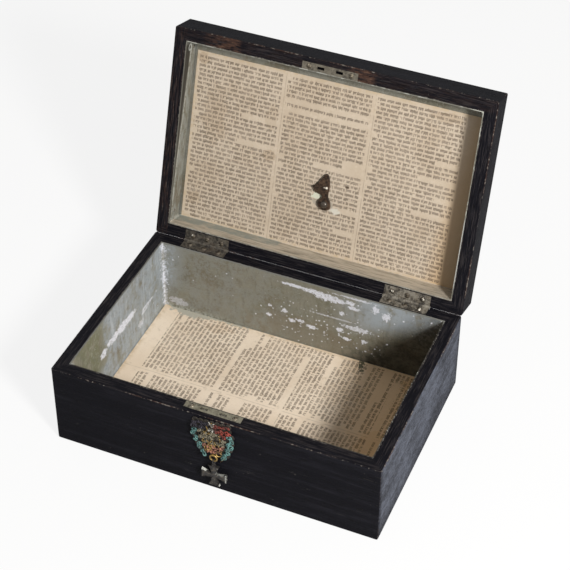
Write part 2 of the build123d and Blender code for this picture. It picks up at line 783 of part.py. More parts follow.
ring_depth = ring_radius + ring_wire_radius
ring_fall = ring_radius - ring_wire_radius - eye_wire_radius - ring_play
cross_eye_fall = ring_fall + ring_radius + cross_eye_hole_radius - ring_wire_radius - cross_eye_play
cross_fall = cross_eye_fall + (cross_eye_radius + cross_eye_hole_radius) / 2 + cross_size / 2
eye_plane = ornament_plane.offset(ring_depth)
hanging_plane = Plane(
    origin=eye_plane.from_local_coords(Vector(0, -eye_drop - eye_radius, 0)), x_dir=(1, 0, 0), z_dir=(0, -1, 0)
)

with BuildPart() as pendant_eye:
    with BuildSketch(across(eye_plane, 0, -eye_drop, 0, "right")):
        with Locations((eye_radius, 0)):
            Circle(eye_wire_radius)
    revolve(axis=Axis(eye_plane.from_local_coords(Vector(0, -eye_drop, 0)), eye_plane.z_dir))
    with BuildSketch(across(hanging_plane, -eye_bead_length / 2, 0, 0, "right")):
        Circle(eye_bead_radius)
    extrude(amount=eye_bead_length)
    with BuildSketch(loop_plane):
        with Locations((0, -eye_drop + eye_radius)):
            Rectangle(2 * eye_wire_radius, eye_neck_height)
    extrude(amount=ring_depth - backing_thickness)
pendant_eye.part.label = "pendant_eye"

with BuildPart() as pendant_ring:
    with BuildSketch(across(hanging_plane, 0, -ring_fall, 0, "back")):
        with Locations((0, ring_radius)):
            Circle(ring_wire_radius)
    revolve(axis=Axis(hanging_plane.from_local_coords(Vector(0, -ring_fall, 0)), hanging_plane.x_dir))
pendant_ring.part.label = "pendant_ring"


def cross_outline(inset):
    """A cross with four flared arms, drawn smaller by an inset"""
    half = cross_size / 2 - inset
    end = cross_end_width / 2 - inset
    waist = cross_waist / 2 - inset * cross_waist_inset_share
    bend_reach = waist + (half - waist) * cross_flare_reach_share
    bend_width = waist + (end - waist) * cross_flare_width_share
    with BuildSketch(mode=Mode.PRIVATE) as arm:
        with BuildLine():
            flare = ThreePointArc((waist, waist), (bend_reach, bend_width), (half, end))
            Line(flare @ 1, (half, -end))
            back = ThreePointArc((half, -end), (bend_reach, -bend_width), (waist, -waist))
            Line(back @ 1, (0, 0))
            Line((0, 0), flare @ 0)
        make_face()
    return arm.sketch


def add_cross(plane, inset, amount, mode=Mode.ADD):
    """Four arms about the cross's centre, extruded from a plane"""
    with BuildSketch(plane) as outline:
        with Locations((0, -cross_fall)):
            for quarter in range(4):
                add(cross_outline(inset).rotate(Axis.Z, 90 * quarter))
    extrude(outline.sketch, amount=amount, mode=mode)


with BuildPart() as cross_core:
    add_cross(hanging_plane.offset(-cross_core_thickness / 2), cross_rim_width, cross_core_thickness)
cross_core.part.label = "cross_core"

with BuildPart() as cross_rim:
    add_cross(hanging_plane.offset(-cross_thickness / 2), 0, cross_thickness)
    add_cross(hanging_plane.offset(-cross_thickness / 2), cross_rim_width, cross_thickness, Mode.SUBTRACT)
    with BuildSketch(hanging_plane.offset(-cross_eye_thickness / 2)):
        with Locations((0, -cross_eye_fall)):
            Circle(cross_eye_radius)
        with Locations((0, -cross_fall)):
            for quarter in range(4):
                add(cross_outline(cross_rim_width).rotate(Axis.Z, 90 * quarter), mode=Mode.SUBTRACT)
        with Locations((0, -cross_eye_fall)):
            Circle(cross_eye_hole_radius, mode=Mode.SUBTRACT)
    extrude(amount=cross_eye_thickness)
cross_rim.part.label = "cross_rim"

pieces = [
    front_wall.part,
    back_wall.part,
    left_wall.part,
    right_wall.part,
    base_board.part,
    body_lining.part,
    floor_paper.part,
    lid_top.part,
    lid_front_rail.part,
    lid_back_rail.part,
    lid_left_rail.part,
    lid_right_rail.part,
    lid_lining.part,
    lining_nails.part,
    lid_paper.part,
    body_leaf_screws.part,
    lid_leaf_screws.part,
    lock_plate.part,
    lock_case.part,
    lock_screws.part,
    hook_bolt.part,
    lift_plate.part,
    strike_plate.part,
    strike_screws.part,
    clip_rivet.part,
    clip_arm.part,
    pendant_eye.part,
    pendant_ring.part,
    cross_core.part,
    cross_rim.part,
]

for piece in pieces + hinge_pieces + ornament_pieces:
    export_step(piece, f"parts/{piece.label}.step")
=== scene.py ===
"""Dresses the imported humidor: worn black wood, tarnished lining, pasted print, fittings and a wire posy.

Everything is in metres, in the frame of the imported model. The lid's pieces are described in the
coordinates of the closed box, and are turned open about the hinge, as the photograph shows them.
"""

from __future__ import annotations

import json
import logging
import math
import random
from dataclasses import dataclass, field
from enum import Enum
from typing import Callable, Optional, Sequence, Union

import bpy
from mathutils import Matrix, Vector

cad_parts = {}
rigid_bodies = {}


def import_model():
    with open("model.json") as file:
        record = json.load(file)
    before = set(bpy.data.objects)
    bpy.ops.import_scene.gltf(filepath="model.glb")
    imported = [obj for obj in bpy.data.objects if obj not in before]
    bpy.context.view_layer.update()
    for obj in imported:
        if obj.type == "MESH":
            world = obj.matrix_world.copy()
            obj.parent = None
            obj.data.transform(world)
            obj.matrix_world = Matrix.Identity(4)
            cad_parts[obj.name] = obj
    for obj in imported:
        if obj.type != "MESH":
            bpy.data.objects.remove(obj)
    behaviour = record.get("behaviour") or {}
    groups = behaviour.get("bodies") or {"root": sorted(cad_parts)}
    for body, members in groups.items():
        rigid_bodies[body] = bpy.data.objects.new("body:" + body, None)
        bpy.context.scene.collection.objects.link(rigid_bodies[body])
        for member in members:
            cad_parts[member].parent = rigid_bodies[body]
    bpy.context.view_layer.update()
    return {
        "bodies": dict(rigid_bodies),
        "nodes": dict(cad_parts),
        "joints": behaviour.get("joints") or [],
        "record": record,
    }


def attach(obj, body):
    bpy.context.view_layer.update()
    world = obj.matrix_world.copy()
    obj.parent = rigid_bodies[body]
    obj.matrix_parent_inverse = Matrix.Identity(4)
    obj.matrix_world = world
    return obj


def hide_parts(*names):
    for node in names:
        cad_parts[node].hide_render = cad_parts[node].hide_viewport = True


LOG = logging.getLogger("humidor")

Colour = tuple[float, float, float]
Number = Union[float, "Wire"]

HALF_WIDTH = 0.13
HALF_DEPTH = 0.087
BODY_HEIGHT = 0.0718
LID_BASE = 0.0719
LID_TOP = 0.0968
WALL = 0.01
INNER_X = 0.1193
INNER_Y = 0.0763
HINGE = Vector((0.0, 0.087, 0.07185))
OPEN_ANGLE = math.radians(107.0)
LID_TURN = Matrix.Rotation(-OPEN_ANGLE, 4, "X")
DOWN = Vector((0.0, 0.0, -1.0))
FORWARD = Vector((0.0, -1.0, 0.0))
UP = Vector((0.0, 0.0, 1.0))
FACE_DEPTH = 0.0004  # nearer than this to a lining's inner face counts as on the face
RIM_NEAR, RIM_FAR = 0.0002, 0.0006  # a rim's own wear fades out between these depths
PROUD = 0.00003  # how far a screw's head stands out of its leaf or plate


class Half(Enum):
    """Which half of the box a piece belongs to."""

    BODY = "box"
    LID = "lid"


class Grain(Enum):
    """The axis that a board's grain runs along."""

    X = 0
    Y = 1


def opened(x: float, y: float, z: float) -> Vector:
    """Gives the open-lid place of a point in closed-lid coordinates."""
    return HINGE + LID_TURN @ (Vector((x, y, z)) - HINGE)


def add_object(name: str, data: bpy.types.ID) -> bpy.types.Object:
    """Puts a mesh, curve, light or camera into the scene."""
    made = bpy.data.objects.new(name, data)
    bpy.context.scene.collection.objects.link(made)
    return made


def baked(source: bpy.types.Object, name: str) -> bpy.types.Mesh:
    """Keeps what an object's curve or nodes make as a plain mesh, and removes the object."""
    bpy.context.view_layer.update()
    seen = source.evaluated_get(bpy.context.evaluated_depsgraph_get())
    mesh = bpy.data.meshes.new_from_object(seen)
    mesh.name = name
    bpy.data.objects.remove(source)
    return mesh


def maths(operation: str, swapped: bool = False) -> Callable[..., "Wire"]:
    """Makes an arithmetic method of Wire.

    Args:
        operation: The Math node's operation.
        swapped: Whether the other value comes first.

    Returns:
        The method, which adds one Math node.
    """

    def method(wire: "Wire", value: Optional[Number] = None) -> "Wire":
        """Adds the node."""
        first, second = (value, wire) if swapped else (wire, value)
        return wire.graph.node("ShaderNodeMath", {"operation": operation}, {0: first, 1: second})

    return method


class Wire:
    """One output socket of a node tree, with arithmetic that adds Math nodes."""

    def __init__(self, graph: "Graph", socket: bpy.types.NodeSocket) -> None:
        """Wraps a socket of a graph."""
        self.graph = graph
        self.socket = socket

    def other(self, name: Union[str, int]) -> "Wire":
        """Gives another output of the same node."""
        return Wire(self.graph, self.socket.node.outputs[name])

    __add__ = __radd__ = maths("ADD")
    __sub__ = maths("SUBTRACT")
    __rsub__ = maths("SUBTRACT", swapped=True)
    __mul__ = __rmul__ = maths("MULTIPLY")
    __truediv__ = maths("DIVIDE")
    __pow__ = maths("POWER")
    __gt__ = maths("GREATER_THAN")
    __lt__ = maths("LESS_THAN")
    __abs__ = maths("ABSOLUTE")
    least = maths("MINIMUM")
    most = maths("MAXIMUM")
    whole = maths("FLOOR")
    rest = maths("FRACT")


class Graph:
    """A node tree under construction."""

    def __init__(self, tree: bpy.types.NodeTree) -> None:
        """Takes an empty tree."""
        self.tree = tree

    def node(
        self,
        kind: str,
        settings: Optional[dict] = None,
        sockets: Optional[dict] = None,
        output: Union[str, int] = 0,
    ) -> Wire:
        """Adds one node.

        Args:
            kind: The node's type.
            settings: The node's own properties.
            sockets: Values or wires by input name or number. None leaves an input alone.
            output: The output that is wanted.

        Returns:
            The wanted output.
        """
        made = self.tree.nodes.new(kind)
        for name, value in (settings or {}).items():
            setattr(made, name, value)
        for key, value in (sockets or {}).items():
            if value is None:
                continue
            target = made.inputs[key]
            if isinstance(value, Wire):
                self.tree.links.new(value.socket, target)
            elif isinstance(value, tuple) and target.type == "RGBA":
                target.default_value = (*value, 1.0)
            else:
                target.default_value = value
        return Wire(self, made.outputs[output])

    def join(self, x: Number, y: Number, z: Number) -> Wire:
        """Makes a vector of three numbers."""
        return self.node("ShaderNodeCombineXYZ", None, {0: x, 1: y, 2: z})

    def end(self, kind: str, wire: Wire) -> None:
        """Adds an output node of a kind, and links a wire to its first input."""
        self.tree.links.new(wire.socket, self.tree.nodes.new(kind).inputs[0])


@dataclass(frozen=True)
class Blot:
    """A ragged stain on a flat face: its centre, half sizes and strength."""

    u: float
    v: float
    reach_u: float
    reach_v: float
    amount: float = 1.0


def blots(*rows: tuple[float, ...]) -> tuple[Blot, ...]:
    """Makes stains of rows in millimetres, each with its strength last where that isn't 1."""
    return tuple(Blot(*(length / 1000.0 for length in row[:4]), *row[4:]) for row in rows)


class Bench(Graph):
    """A material under construction, with the colour that it has so far."""

    fray = 5.5  # how deep noise bites into a stain's edge
    frayed_edge = (0.7, 1.05)  # where a stain's edge starts and ends, as a share of its reach squared
    fleck_fray = 2.2  # how deep noise bites into a fleck's edge

    def __init__(self, name: str, half: Half = Half.BODY, base: Colour = (0.8, 0.8, 0.8)) -> None:
        """Starts an empty material.

        Args:
            name: The material's name.
            half: The lid's materials read the coordinates of the closed lid.
            base: The first colour.
        """
        self.material = bpy.data.materials.new(name)
        self.material.use_nodes = True
        self.material.node_tree.nodes.clear()
        super().__init__(self.material.node_tree)
        self.colour: Union[Colour, Wire] = base
        self.place = self.node("ShaderNodeTexCoord", output="Object")
        if half is Half.LID:
            shift = HINGE - LID_TURN.inverted().to_3x3() @ HINGE
            sockets = {"Vector": self.place, "Location": tuple(shift), "Rotation": (OPEN_ANGLE, 0.0, 0.0)}
            self.place = self.node("ShaderNodeMapping", {"vector_type": "POINT"}, sockets)
        self.x = self.node("ShaderNodeSeparateXYZ", None, {0: self.place})
        self.y, self.z = self.x.other(1), self.x.other(2)

    def noise(
        self,
        scale: float,
        detail: float = 2.0,
        rough: float = 0.5,
        bend: float = 0.0,
        where: Optional[Wire] = None,
    ) -> Wire:
        """Gives smooth noise from 0 to 1.

        Args:
            scale: Features per metre, or per unit of where.
            detail: Finer layers added.
            rough: The share of the finer layers.
            bend: How far the noise is bent by itself.
            where: Where to read it, if that isn't the place on the surface.

        Returns:
            The noise.
        """
        place = self.place if where is None else where
        sockets = {"Vector": place, "Scale": scale, "Detail": detail, "Roughness": rough, "Distortion": bend}
        return self.node("ShaderNodeTexNoise", None, sockets)

    def drawn(self, scales: tuple[float, float, float], *layers: float) -> Wire:
        """Gives noise drawn out along the axes, with scales for X, Y and Z. The layers are noise's."""
        x, y, z = scales
        return self.noise(1.0, *layers, where=self.join(self.x * x, self.y * y, self.z * z))

    def cells(self, scale: float) -> Wire:
        """Gives the distance to scattered points."""
        return self.node("ShaderNodeTexVoronoi", None, {"Vector": self.place, "Scale": scale})

    def dice(self, x: Number, y: Number, z: Number = 0.0) -> Wire:
        """Gives one random number for each whole place."""
        sockets = {"Vector": self.join(x, y, z)}
        return self.node("ShaderNodeTexWhiteNoise", {"noise_dimensions": "3D"}, sockets)

    def rise(self, value: Number, low: Number, high: Number, start: float = 0.0, stop: float = 1.0) -> Wire:
        """Goes smoothly from start to stop as a value goes from low to high."""
        sockets = {0: value, 1: low, 2: high, 3: start, 4: stop}
        return self.node("ShaderNodeMapRange", {"interpolation_type": "SMOOTHSTEP"}, sockets)

    def fall(self, value: Number, low: Number, high: Number) -> Wire:
        """Goes smoothly from 1 to 0 as a value goes from low to high."""
        return self.rise(value, low, high, 1.0, 0.0)

    def span(self, value: Wire, low: float, high: float, soft: float) -> Wire:
        """Gives 1 between two values, with soft ends."""
        return self.rise(value, low - soft, low + soft) * self.fall(value, high - soft, high + soft)

    def coat(self, tone: Colour, share: Number) -> None:
        """Mixes a tone into the colour so far, by its share."""
        sockets = {0: share, 6: self.colour, 7: tone}
        self.colour = self.node("ShaderNodeMix", {"data_type": "RGBA"}, sockets, 2)

    def blot(self, across: Wire, along: Wire, spot: Blot, rag: Wire) -> Wire:
        """Gives a ragged stain: its strength inside, 0 outside, with an edge frayed by the noise rag."""
        far = ((across - spot.u) / spot.reach_u) ** 2 + ((along - spot.v) / spot.reach_v) ** 2
        return self.fall(far + (rag - 0.5) * self.fray, *self.frayed_edge) * spot.amount

    def flecks(self, scale: float, share: Number, reach: float, rag: Wire) -> Wire:
        """Gives scattered ragged flecks.

        Args:
            scale: Possible flecks per metre.
            share: The share of them that is there.
            reach: Their size, as a share of their spacing.
            rag: Noise that frays their edges.

        Returns:
            1 in the flecks and 0 outside.
        """
        cell = self.cells(scale)
        lot = self.node("ShaderNodeSeparateColor", None, {0: cell.other("Color")})
        size = (lot.other(1) ** 2) * 0.75 + 0.25
        there = lot > 1.0 - share
        return self.fall(cell / size + (rag - 0.5) * self.fleck_fray, reach * 0.7, reach) * there

    def finish(
        self,
        roughness: Number,
        relief: Wire,
        depth: float,
        shine: float,
        strength: float = 0.5,
        metallic: float = 0.0,
    ) -> bpy.types.Material:
        """Ends the material in one Principled shader.

        Args:
            roughness: The roughness.
            relief: The relief, from 0 to 1.
            depth: The relief's depth.
            shine: The specular level.
            strength: How strongly the relief shows.
            metallic: How far it is metal.

        Returns:
            The material.
        """
        bump = self.node("ShaderNodeBump", None, {"Strength": strength, "Distance": depth, "Height": relief})
        sockets = {
            "Base Color": self.colour, "Roughness": roughness, "Metallic": metallic,
            "Specular IOR Level": shine, "Normal": bump,
        }
        self.end("ShaderNodeOutputMaterial", self.node("ShaderNodeBsdfPrincipled", None, sockets))
        return self.material


@dataclass(frozen=True)
class BlackWood:
    """Open-grained wood stained black, rubbed along its arrises and greyed where it is dry."""

    name: str
    half: Half
    grain: Grain
    tone: Colour = (0.004, 0.0039, 0.006)
    ridge: Colour = (0.0105, 0.0103, 0.0142)
    rubbed: Colour = (0.055, 0.03, 0.022)
    bare: Colour = (0.12, 0.07, 0.047)
    bloom: Colour = (0.102, 0.112, 0.142)
    scratch: Colour = (0.22, 0.205, 0.18)
    wear: float = 1.0
    dry: float = 0.0

    def make(self) -> bpy.types.Material:
        """Makes the wood, with its grain along the board."""
        b = Bench(self.name, self.half, self.tone)
        fibres = self._grained(b, 60.0, 1500.0, 4.0, 0.65)
        band = self._grained(b, 9.0, 190.0, 4.0, 0.6, 0.5)
        pore = b.rise(self._grained(b, 150.0, 2200.0, 2.0), 0.56, 0.66)
        b.coat(self.ridge, b.rise(band * 0.5 + fibres * 0.5, 0.47, 0.66))
        b.coat((0.03, 0.026, 0.027), self._on_rim(b) * b.rise(fibres, 0.5, 0.62) * 0.8)
        if self.dry:
            self._grey(b, band, fibres)
        b.coat((0.0022, 0.002, 0.0022), pore * 0.75)
        if self.half is Half.LID:
            self._wear_lid_rim(b)
        rubbing = self._wear_arrises(b)
        patchy = b.noise(60.0, 2.0)
        nicks = b.flecks(520.0, b.rise(patchy, 0.52, 0.72) * 0.16, 0.26, fibres)
        lines = b.rise(self._grained(b, 45.0, 2600.0, 1.0), 0.735, 0.76) * b.rise(patchy, 0.54, 0.62)
        ticks = b.rise(self._grained(b, 420.0, 2300.0, 2.0), 0.66, 0.72)
        ticks = ticks * b.rise(b.noise(55.0, 3.0), 0.47, 0.6)
        b.coat(self.scratch, (nicks * 0.18).most(lines * 0.22).most(ticks * 0.07))
        gloss = 0.56 + fibres * 0.16 + rubbing * 0.12
        relief = fibres * 0.6 + band * 0.25 - pore * 0.6 - rubbing * 0.35
        return b.finish(gloss, relief, depth=0.0003, shine=0.055, strength=0.7)

    def _on_rim(self, b: Bench) -> Wire:
        """Gives 1 on the rim where the body and the lid meet."""
        if self.half is Half.BODY:
            return b.rise(b.z, BODY_HEIGHT - RIM_FAR, BODY_HEIGHT - RIM_NEAR)
        return b.fall(b.z, LID_BASE + RIM_NEAR, LID_BASE + RIM_FAR)

    def _grained(self, b: Bench, long: float, cross: float, *layers: float) -> Wire:
        """Gives noise with features per metre along the grain and across it. The layers are noise's."""
        return b.drawn((long, cross, cross) if self.grain is Grain.X else (cross, long, cross), *layers)

    def _grey(self, b: Bench, band: Wire, fibres: Wire) -> None:
        """Adds the pale blue-grey bloom of dry wood on the outer faces.

        Args:
            b: The material.
            band: Broad bands of grain.
            fibres: Fine grain.
        """
        outer = b.rise(abs(b.x), HALF_WIDTH - 0.0008, HALF_WIDTH - 0.0003)
        hatch = self._grained(b, 240.0, 900.0, 3.0, 0.7)
        cloud = b.noise(34.0, 3.0, 0.6)
        share = b.rise(band * 0.3 + fibres * 0.3 + hatch * 0.45 + cloud * 0.35, 0.56, 0.84)
        edge = b.rise(b.z, 0.0, 0.012) * b.rise(HALF_DEPTH - abs(b.y), 0.0005, 0.006)
        b.coat(self.bloom, outer * (share * 0.9 + 0.12) * (edge * 0.6 + 0.4) * self.dry)

    def _wear_lid_rim(self, b: Bench) -> None:
        """Adds the brown patches along the lid's front and left rims."""
        rim = self._on_rim(b)
        left = b.span(b.x, -0.104, -0.0755, 0.003) * (b.rise(b.x, -0.1, -0.086) * 0.6 + 0.4)
        right = b.span(b.x, 0.0135, 0.034, 0.003)
        streaks = b.drawn((130.0, 560.0, 60.0), 6.0, 0.75)
        front = rim * b.fall(b.y, -0.077, -0.0764)
        patch = front * (left.most(right) * 0.9 + 0.1) * b.rise(streaks, 0.42, 0.54)
        b.coat(self.rubbed, patch * 0.9)
        b.coat(self.bare, patch * b.rise(streaks, 0.56, 0.64) * 0.65)
        side = rim * b.fall(b.x, -0.12, -0.119)
        grooves = b.drawn((1500.0, 60.0, 60.0), 4.0, 0.7)
        b.coat(self.rubbed, side * b.rise(grooves, 0.52, 0.62) * 0.5)
        b.coat(self.scratch, side * b.rise(grooves, 0.64, 0.7) * 0.5)

    def _wear_arrises(self, b: Bench) -> Wire:
        """Wears the stain off the edges, and gives where it is worn."""
        low, high, rim = LID_BASE, LID_TOP, LID_BASE
        if self.half is Half.BODY:
            low, high, rim = 0.0, BODY_HEIGHT, BODY_HEIGHT
        from_side = HALF_WIDTH - abs(b.x)
        from_face = HALF_DEPTH - abs(b.y)
        from_end = (b.z - low).least(high - b.z)
        arris = from_side.least(from_face).most(from_side.most(from_face).least(from_end))
        inner = (HALF_WIDTH - WALL - abs(b.x)).least(HALF_DEPTH - WALL - abs(b.y))
        inner_arris = abs(b.z - rim).most(abs(inner))
        chips = b.noise(520.0, 5.0, 0.7)
        patchy = b.noise(42.0, 3.0)
        rubbing = b.fall(arris, 0.0001, 0.0003 + chips * 0.001) * b.rise(patchy + chips * 0.5, 0.74, 0.86)
        rubbing = rubbing.most(b.fall(inner_arris, 0.0001, 0.0006) * b.rise(chips, 0.48, 0.6) * 0.6)
        b.coat(self.rubbed, rubbing * 0.85 * self.wear)
        pale = b.fall(arris, 0.0002, 0.0008) * b.rise(chips + patchy * 0.3, 0.71, 0.76)
        pale = pale.most(b.fall(inner_arris, 0.0002, 0.0007) * b.rise(chips + patchy * 0.4, 0.76, 0.8))
        hinged = b.fall(b.y, HALF_DEPTH - 0.003, HALF_DEPTH - 0.001)
        b.coat(self.scratch, pale * 0.75 * self.wear * hinged)
        return rubbing


BACK_SMEARS = blots(
    (-2, 65.2, 15, 1.6), (13.5, 64.5, 12, 2.4), (24, 62.5, 11, 3.6), (34, 61.8, 7, 2),
    (47, 68.8, 20, 1, 0.8), (43, 63.2, 4.5, 2.2), (64, 63.2, 3, 3.6), (72.9, 59, 3.4, 4.2),
    (46.4, 58.6, 5, 1.8), (36.6, 50, 3, 2), (30, 43.5, 20, 0.8, 0.5), (49, 38, 12, 2.2, 0.85),
    (-11.9, 36.2, 2.6, 2), (-24.9, 37.7, 1.8, 1.4), (-26, 27.8, 2.6, 1.8), (-6, 28, 3, 2),
    (2, 30, 3.6, 1.8), (11, 27, 5, 1.8), (35.3, 32.5, 4, 2.4), (40.6, 25, 3.4, 1.6),
    (56, 27.2, 2.8, 1.6, 0.9), (-107, 13, 9, 4, 0.5),
)
LEFT_SMEARS = blots(
    (15, 40.2, 11, 3.6), (3, 41.2, 8.5, 5), (-9, 41.4, 9.5, 4.2), (-18, 42, 4, 3),
    (-27.4, 39.1, 5, 4.6), (47, 30.6, 10, 1.6, 0.7), (41.5, 27.7, 6, 1.4, 0.6),
    (33.5, 20, 5, 3.4, 0.5),
)


@dataclass(frozen=True)
class TarnishedSheet:
    """Old zinc sheet, mottled olive and grey, with blue bloom, white smears and flecks."""

    name: str
    half: Half
    dull: Colour = (0.225, 0.215, 0.17)
    olive: Colour = (0.15, 0.142, 0.092)
    brown: Colour = (0.135, 0.105, 0.066)
    blue: Colour = (0.335, 0.375, 0.41)
    bloom: Colour = (0.74, 0.76, 0.84)

    def make(self) -> bpy.types.Material:
        """Makes the sheet, with the bloom where the photograph shows it."""
        b = Bench(self.name, self.half, self.dull)
        cloud = b.noise(24.0, 5.0, 0.65, 0.4)
        mottle = b.noise(110.0, 6.0, 0.72)
        fine = b.noise(950.0, 4.0, 0.7)
        rag = b.noise(430.0, 5.0, 0.72)
        brush = b.drawn((160.0, 160.0, 1400.0), 3.0)
        b.coat(self.olive, b.rise(cloud * 0.45 + mottle * 0.55, 0.42, 0.62))
        b.coat(self.brown, b.rise(b.noise(48.0, 5.0, 0.7), 0.5, 0.66) * 0.6)
        b.coat((0.33, 0.325, 0.29), b.rise(mottle * 0.4 + fine * 0.6, 0.5, 0.64) * 0.55)
        runs = b.drawn((260.0, 260.0, 60.0), 5.0, 0.72)
        b.coat((0.105, 0.098, 0.066), b.rise(runs, 0.52, 0.64) * 0.5)
        if self.half is Half.BODY:
            self._stain_and_shade_body(b, mottle, rag, fine)
        else:
            self._stain_and_shade_lid(b, mottle, rag)
        pits = b.flecks(620.0, b.rise(cloud, 0.4, 0.65) * 0.22, 0.24, fine)
        b.coat((0.045, 0.04, 0.028), (b.rise(fine * 0.5 + rag * 0.5, 0.57, 0.66) * 0.45).most(pits * 0.7))
        relief = mottle * 0.45 + fine * 0.25 + brush * 0.1 + cloud * 0.4
        gloss = 0.45 + mottle * 0.22 + brush * 0.08
        return b.finish(gloss, relief, depth=0.0003, shine=0.3, metallic=0.22)

    def _smears(self, b: Bench, on_face: Wire, along: Wire, smears: Sequence[Blot], rag: Wire) -> Wire:
        """Gives how white one face's smears make it. Along is the face's level coordinate."""
        white: Number = 0.0
        for smear in smears:
            white = b.blot(along, b.z, smear, rag).most(white)
        return white * on_face

    def _stain_and_shade_body(self, b: Bench, mottle: Wire, rag: Wire, fine: Wire) -> None:
        """Adds the body lining's own stains, a painted shadow across its back and painted warm bounce light
        on its right face.

        Args:
            b: The material.
            mottle: Middling noise.
            rag: Noise that frays the edges.
            fine: The finest noise.
        """
        on_back = b.y > INNER_Y - FACE_DEPTH
        on_left = b.x < -(INNER_X - FACE_DEPTH)
        high = b.rise(b.z - b.x * 0.25, 0.014, 0.04)
        streaks = b.drawn((130.0, 130.0, 22.0), 5.0, 0.7)
        bluish = on_back * b.rise(b.x, 0.02, 0.07) * high
        bluish = bluish + on_back * b.fall(b.x, -0.116, -0.096) * b.rise(b.z, 0.015, 0.04)
        front_olive = b.fall(b.y + (mottle - 0.5) * 0.05, -0.035, -0.015) * b.rise(b.z, 0.02, 0.034)
        bluish = bluish + on_left * (1.0 - front_olive) * (streaks * 0.5 + 0.6)
        b.coat(self.blue, (bluish * b.rise(mottle * 0.6 + streaks * 0.4, 0.34, 0.56)).least(0.92))
        b.coat((0.5, 0.53, 0.56), on_left * (1.0 - front_olive) * b.rise(streaks, 0.54, 0.68) * 0.5)
        green = on_left * front_olive
        b.coat((0.15, 0.155, 0.092), green * b.rise(mottle * 0.5 + streaks * 0.5, 0.4, 0.56) * 0.84)
        b.coat((0.4, 0.4, 0.33), green * b.rise(streaks * 0.4 + rag * 0.6, 0.53, 0.62) * 0.6)
        misty = on_left.most(on_back * b.fall(b.x, -0.112, -0.09))
        b.coat((0.1, 0.11, 0.11), misty * b.rise(rag * 0.5 + mottle * 0.5, 0.52, 0.62) * 0.35)
        grey = b.rise(mottle * 0.5 + rag * 0.5, 0.44, 0.56) * 0.65 + 0.1
        b.coat((0.245, 0.248, 0.225), on_back * b.fall(b.x, -0.06, 0.06) * grey)
        # painted shadow: the right wall's shadow across the back lining's lower right, darkened and mottled
        shaded = on_back * b.rise(b.x - b.z * 1.1, 0.012, 0.05)
        b.coat((0.036, 0.034, 0.026), shaded * (b.rise(mottle * 0.6 + rag * 0.4, 0.42, 0.58) * 0.3 + 0.66))
        # painted warm bounce light: the right face of the lining, which lies in shade, is given a bright warm
        # tan
        on_right = b.x > INNER_X - FACE_DEPTH
        b.coat((0.78, 0.62, 0.41), on_right * 0.92)
        umber = b.blot(b.x, b.z, Blot(0.008, 0.018, 0.05, 0.016), mottle)
        b.coat((0.185, 0.155, 0.112), on_back * umber * 0.36)
        white = self._smears(b, on_back, b.x, BACK_SMEARS, rag)
        white = white.most(self._smears(b, on_left, b.y, LEFT_SMEARS, rag))
        belt = b.fall(abs(b.z - 0.032 + b.x * 0.04), 0.008, 0.022)
        belt = belt * b.rise(b.x, -0.05, 0.005) * b.fall(b.x, 0.062, 0.08)
        top = b.rise(b.z, 0.04, 0.056) * b.rise(b.x, -0.01, 0.03)
        zone = on_back * (belt * 0.36 + top * 0.12 + 0.012) + on_left * 0.02
        white = white.most(b.flecks(400.0, zone, 0.5, rag))
        white = white.most(b.flecks(1000.0, zone * 0.5 + 0.004, 0.44, rag) * 0.7)
        seam = (INNER_X - abs(b.x)).most(INNER_Y - abs(b.y))
        solder = b.fall(seam + (rag - 0.5) * 0.03, 0.0012, 0.003) * b.fall(b.x, -0.05, 0.0)
        white = white.most(solder * (b.rise(mottle, 0.4, 0.55) * 0.6 + 0.25))
        dry = b.rise(fine, 0.38, 0.58) * 0.4 + 0.55
        b.coat(self.bloom, (white * dry).least(1.0))
        low = on_back * b.fall(b.z + (rag - 0.5) * 0.03, 0.0085, 0.012) * b.fall(b.x, -0.1, -0.03)
        b.coat((0.46, 0.46, 0.4), low * b.rise(rag, 0.44, 0.54) * 0.75)
        edge = b.rise(b.z, BODY_HEIGHT - 0.0009, BODY_HEIGHT - 0.0005)
        pale = b.rise(b.x, 0.1, 0.118) * b.rise(rag, 0.55, 0.62)
        pale = pale.most(b.rise(b.y, 0.07, 0.0762) * 0.55).most(b.fall(b.x, -0.119, -0.115) * 0.35)
        b.coat((0.028, 0.026, 0.022), edge)
        b.coat((0.36, 0.37, 0.34), edge * pale)

    def _stain_and_shade_lid(self, b: Bench, mottle: Wire, rag: Wire) -> None:
        """Adds the lid lining's own stains, as the body's method does for the body's, and a painted shadow of
        the gap along its left rim.
        """
        on_back = b.rise(b.y, INNER_Y - 0.0008, INNER_Y - 0.0003)
        band = b.drawn((40.0, 0.0, 420.0), 5.0, 0.7)
        b.coat((0.55, 0.48, 0.385), on_back * (b.rise(band, 0.38, 0.56) * 0.55 + 0.34))
        upper = on_back * b.rise(b.z + (mottle - 0.5) * 0.006, 0.08, 0.083) * b.fall(b.x, -0.031, -0.028)
        b.coat((0.265, 0.285, 0.255), upper * (b.rise(mottle, 0.4, 0.55) * 0.5 + 0.4))
        b.coat((0.66, 0.66, 0.6), on_back * b.rise(band, 0.61, 0.67) * 0.55)
        b.coat((0.2, 0.17, 0.13), on_back * b.fall(band, 0.34, 0.41) * 0.45)
        on_left = b.fall(b.x, -INNER_X + 0.0003, -INNER_X + 0.0008)
        worn = b.drawn((0.0, 70.0, 260.0), 5.0, 0.7)
        b.coat((0.27, 0.285, 0.265), on_left * b.rise(worn, 0.44, 0.6) * 0.7)
